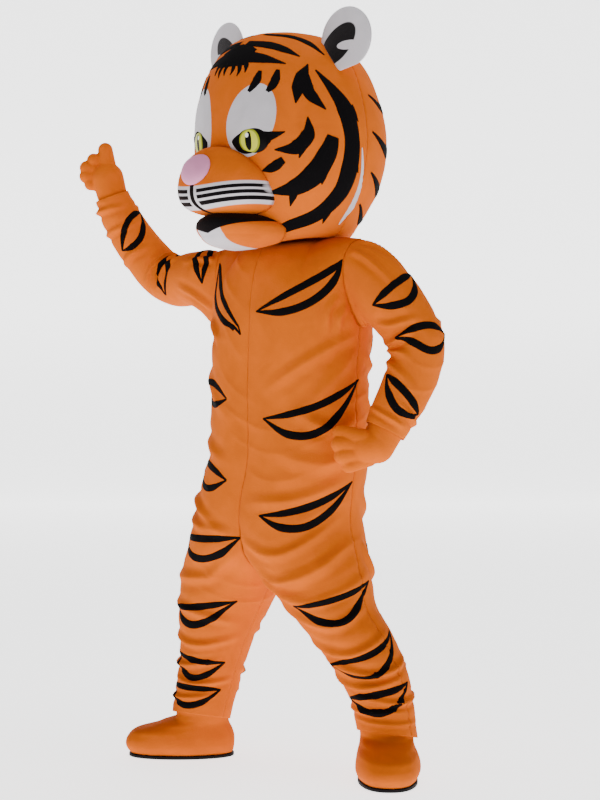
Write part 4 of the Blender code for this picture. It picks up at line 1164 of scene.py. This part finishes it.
def patch(centre, half, lift, tilt=0.0, point=0.0, rings=14, count=72):
    """A flat oval of cloth on the head, rings of points out from its middle. Tilt leans
    its top outward in degrees, and point draws its two sides out to corners."""
    r = np.linspace(0, 1, rings)[:, None]
    turn = np.linspace(0, 2 * math.pi, count)[None, :]
    x, y = half[0] * r * np.cos(turn), half[1] * r * np.sin(turn) * (1 - point * np.cos(turn) ** 2)
    height = centre[1] + y
    girth = HEAD_WIDTH * head_ring(head_t(height))[0]
    angle = centre[0] + np.degrees(x / girth) + tilt * y / half[1]
    p = head_cloth(angle, height)
    n = normals_of(head_cloth, angle, height, *HEAD_STEP)
    edge = np.broadcast_to(np.where(r > 0.985, -0.3, np.where(r > 0.9, 0.8, 1.0)) * lift, x.shape)
    return (p + n * edge[..., None]).reshape(-1, 3), rings, count


# The places and sizes of these ovals were read off the photograph.
pale = [patch((m * 22, 1.672), (0.072, 0.096), 0.0009, tilt=m * 3.5) for m in (1, -1)]
dark = [patch((m * 22.5, 1.619), (0.058, 0.034), 0.0018, tilt=m * 3.0, point=0.45) for m in (1, -1)]
sew("eye_patches", pale, WHITE_PLUSH)
sew("eye_surrounds", dark, BLACK_PLUSH)
print("head done")

# %% [markdown]
# Muzzle, jaw, nose and eyes: padded domes. The whisker band, the mouth line and the white
# chin are sewn in as colour changes, which the material draws from the place on the head.
# The mouth line's black runs on along the jaw's top to the sides as painted shade under the muzzle.

# %% Face pads
def pad_piece(name, row, base, mat, node_name, rows=34, count=110):
    grid = pad_grid(row, base, rows, count, 0.0003)
    piece = grid_mesh(name, place_head(grid), [mat], closed=True)
    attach(piece, "root")
    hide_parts(node_name)
    return piece


# The jaw plumper than its solid, so that its cloth meets the underside of the muzzle.
JAW_PUFFED = (0, 1.395, 0.121, 0.047, 0.119, 3.0, 0.50, 0, 0, 2.4)


def jaw_base(x, z):
    return np.minimum(head_front(x, np.maximum(z, JAW_LOW)), JAW_BACK) - JAW_CLEAR


pad_piece("muzzle_pad", PADS["muzzle"], head_front, MUZZLE_PLUSH, "muzzle", 44, 150)
pad_piece("jaw_pad", JAW_PUFFED, jaw_base, JAW_PLUSH, "jaw", 34, 130)
pad_piece("nose_pad", NOSE, muzzle_front, PINK_PLUSH, "nose", 22, 80)
for side, hand in ((1, "left"), (-1, "right")):
    row = (side * PADS["eye"][0], *PADS["eye"][1:])
    pad_piece(f"eye_pad_{hand}", row, head_front, EYE_CLOTH, f"eye_{hand}", 18, 72)
    grid = ear_grid(side, 70, 26)
    face_mat = np.zeros((grid.shape[0] - 1, grid.shape[1]))
    face_mat[:, 26:] = 1
    mats = [EAR_PLUSH, ORANGE_PLUSH]
    ear = grid_mesh(f"ear_pad_{hand}", place_head(grid), mats, closed=True, face_mat=face_mat)
    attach(ear, "root")
    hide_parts(f"ear_{hand}")
print("face pads done")

# %% [markdown]
# Gloves: padded digits sewn to a palm. Rounded limbs are run together and smoothed, as
# stuffed cloth does where two pads meet.

# %% Gloves
def limb_grid(start, end, r0, r1, rows=18, count=40):
    """A rounded limb: half a ball, a tapering tube and half a ball, ring by ring."""
    start, end = np.array(start), np.array(end)
    along = unit(end - start)
    side = unit(np.cross(along, [0.3, 0.9, 0.2]))
    other = np.cross(along, side)
    turn = np.arange(count) / count * 2 * math.pi
    ring = np.cos(turn)[:, None] * side + np.sin(turn)[:, None] * other
    tilt = np.concatenate([np.linspace(-QUARTER, 0, rows), np.linspace(0, QUARTER, rows)])
    first = (np.arange(2 * rows) < rows)[:, None]
    centre = np.where(first, start, end)
    radius = np.where(first, r0, r1)
    ahead, out = radius * np.sin(tilt)[:, None], radius * np.cos(tilt)[:, None]
    return centre[:, None] + along * ahead[..., None] + ring * out[..., None]


for side, hand in ((1, "left"), (-1, "right")):
    limbs = [limb_grid(*row) for row in GLOVES[side]]
    limbs = [(g.reshape(-1, 3), *g.shape[:2]) for g in limbs]
    glove = joined_mesh(f"glove_pad_{hand}", limbs, ORANGE_PLUSH, closed=True)
    mod = glove.modifiers.new("one skin", "REMESH")
    mod.mode, mod.voxel_size, mod.use_smooth_shade = "VOXEL", 0.0022, True
    mod = glove.modifiers.new("soft", "SMOOTH")
    mod.factor, mod.iterations = 0.6, 7
    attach(glove, "root")
    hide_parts(f"glove_{hand}")
print("gloves done")

# %% [markdown]
# Boot covers: soft plush over a shoe, with a crease across the instep and the cloth pulled
# in where it meets the thin black sole.

# %% Boot covers and soles
def boot_cloth(side, turn, height):
    p = boot_ring(side, turn, height)
    out = boot_ring(side, turn, height, 0.01) - p
    x, y, z = p[..., 0], p[..., 1], p[..., 2]
    front = np.clip(np.cos(turn), 0, 1)
    wave = np.sin((z - 0.085) / 0.011 * math.pi + 1.2 * np.sin(2 * turn + side))
    fold = 0.0035 * wave * front * np.exp(-(((z - 0.092) / 0.022) ** 2))
    swell = 0.0012 * np.sin(45 * x + 20 * z) * np.sin(38 * y + 50 * z)
    tuck = -0.003 * np.exp(-(((z - BOOT_RINGS[0][0]) / 0.004) ** 2))
    return p + out / 0.01 * (fold + swell + tuck + CLOTH_LIFT)[..., None]


# Section of the sole, from the middle of its underside round the rim to the middle on top:
# height, and how far outside the boot. A ring further in than SOLE_INNER closes at the middle.
SOLE_INNER, SOLE_MIDDLE = -0.02, -0.2
SOLE_PROFILE = (
    (0.0, SOLE_MIDDLE), (0.0, SOLE_INNER), (0.0, 0.0025), (0.0012, 0.004),
    (0.0068, 0.004), (0.008, 0.0028), (0.008, SOLE_INNER), (0.008, SOLE_MIDDLE),
)
for side, hand in ((1, "left"), (-1, "right")):
    t1 = np.linspace(0, 2 * math.pi, 150, endpoint=False)
    tt, hh = np.meshgrid(t1, np.linspace(BOOT_RINGS[0][0], BOOT_RINGS[-1][0], 90))
    boot = grid_mesh(f"boot_cloth_{hand}", boot_cloth(side, tt, hh), [ORANGE_PLUSH], closed=True)
    thicken(boot, CLOTH_THICK)
    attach(boot, "root")
    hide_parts(f"boot_{hand}_upper")
    flat = np.full_like(t1, BOOT_RINGS[0][0])
    rows = []
    for height, out in SOLE_PROFILE:
        ring = boot_ring(side, t1, flat, max(out, SOLE_INNER))
        if out < SOLE_INNER:
            ring = ring * 0 + ring.mean(axis=0)
        ring[:, 2] = height
        rows.append(ring)
    sole = grid_mesh(f"sole_edge_{hand}", np.array(rows), [RUBBER], closed=True)
    sole.data.polygons.foreach_set("use_smooth", np.zeros(len(sole.data.polygons), bool))
    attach(sole, "root")
    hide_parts(f"boot_{hand}_sole")
print("boots done")

# %% [markdown]
# The studio: a plain pale floor that curves up behind, soft light from large lamps, and a
# camera a little below the shoulders, where the photograph was taken from.

# %% Studio and camera
CAMERA_TURN, CAMERA_FAR, CAMERA_HEIGHT = math.radians(40), 4.5, 0.95
scene = bpy.context.scene
away = np.array([-math.sin(CAMERA_TURN), math.cos(CAMERA_TURN)])
right = np.array([math.cos(CAMERA_TURN), math.sin(CAMERA_TURN)])
FLOOR_END, BEND, WALL_TOP = 12.0, 2.0, 9.0
rise = np.linspace(0, QUARTER, 12)[1:]
run = np.linspace(-FLOOR_END, FLOOR_END, 10)
run = np.concatenate([run, FLOOR_END + BEND * np.sin(rise), [FLOOR_END + BEND]])
lift = np.concatenate([np.zeros(10), BEND - BEND * np.cos(rise), [WALL_TOP]])
side_way = np.linspace(-14, 14, 3)
flat = run[:, None, None] * away + side_way[None, :, None] * right
floor_points = np.concatenate([flat, np.broadcast_to(lift[:, None, None] - 0.0005, (*flat.shape[:2], 1))], -1)
paper = bpy.data.materials.new("paper")
paper.use_nodes = True
paper.node_tree.nodes["Principled BSDF"].inputs["Base Color"].default_value = (0.93, 0.93, 0.93, 1)
paper.node_tree.nodes["Principled BSDF"].inputs["Roughness"].default_value = 0.9
paper.node_tree.nodes["Principled BSDF"].inputs["Emission Color"].default_value = (1, 1, 1, 1)
paper.node_tree.nodes["Principled BSDF"].inputs["Emission Strength"].default_value = 2.2
grid_mesh("floor", floor_points, [paper])

world = bpy.data.worlds.new("studio")
world.use_nodes = True
world.node_tree.nodes["Background"].inputs[0].default_value = (1, 1, 1, 1)
world.node_tree.nodes["Background"].inputs[1].default_value = 0.30
scene.world = world


def lamp(name, place, size, power):
    data = bpy.data.lights.new(name, "AREA")
    data.size, data.energy = size, power
    thing = bpy.data.objects.new(name, data)
    scene.collection.objects.link(thing)
    thing.location = place
    aim = np.array([0, 0, -0.4]) - np.array(place)
    tip = math.acos(aim[2] / np.linalg.norm(aim)) - math.pi
    thing.rotation_euler = (tip, 0, math.atan2(aim[1], aim[0]) - QUARTER)


def seen_from(across, far, up):
    """A place given across and towards the camera, and up from the shoulders."""
    flat_place = right * across - away * far
    return (flat_place[0], flat_place[1], up)


lamp("key", seen_from(-2.4, 2.0, 2.0), 1.2, 110)
lamp("fill", seen_from(2.4, 3.0, 0.6), 2.5, 22)
lamp("top", seen_from(0.4, 0.2, 2.6), 1.6, 55)

data = bpy.data.cameras.new("camera")
data.sensor_fit, data.sensor_height, data.sensor_width = "VERTICAL", 36, 27
data.lens = 36 * 1710 / 800
data.shift_x, data.shift_y = 8 / 800, 5 / 800
camera = bpy.data.objects.new("camera", data)
scene.collection.objects.link(camera)
camera.location = (-away[0] * CAMERA_FAR, -away[1] * CAMERA_FAR, CAMERA_HEIGHT - ORIGIN_HEIGHT)
camera.rotation_euler = (QUARTER, 0, CAMERA_TURN)
scene.camera = camera
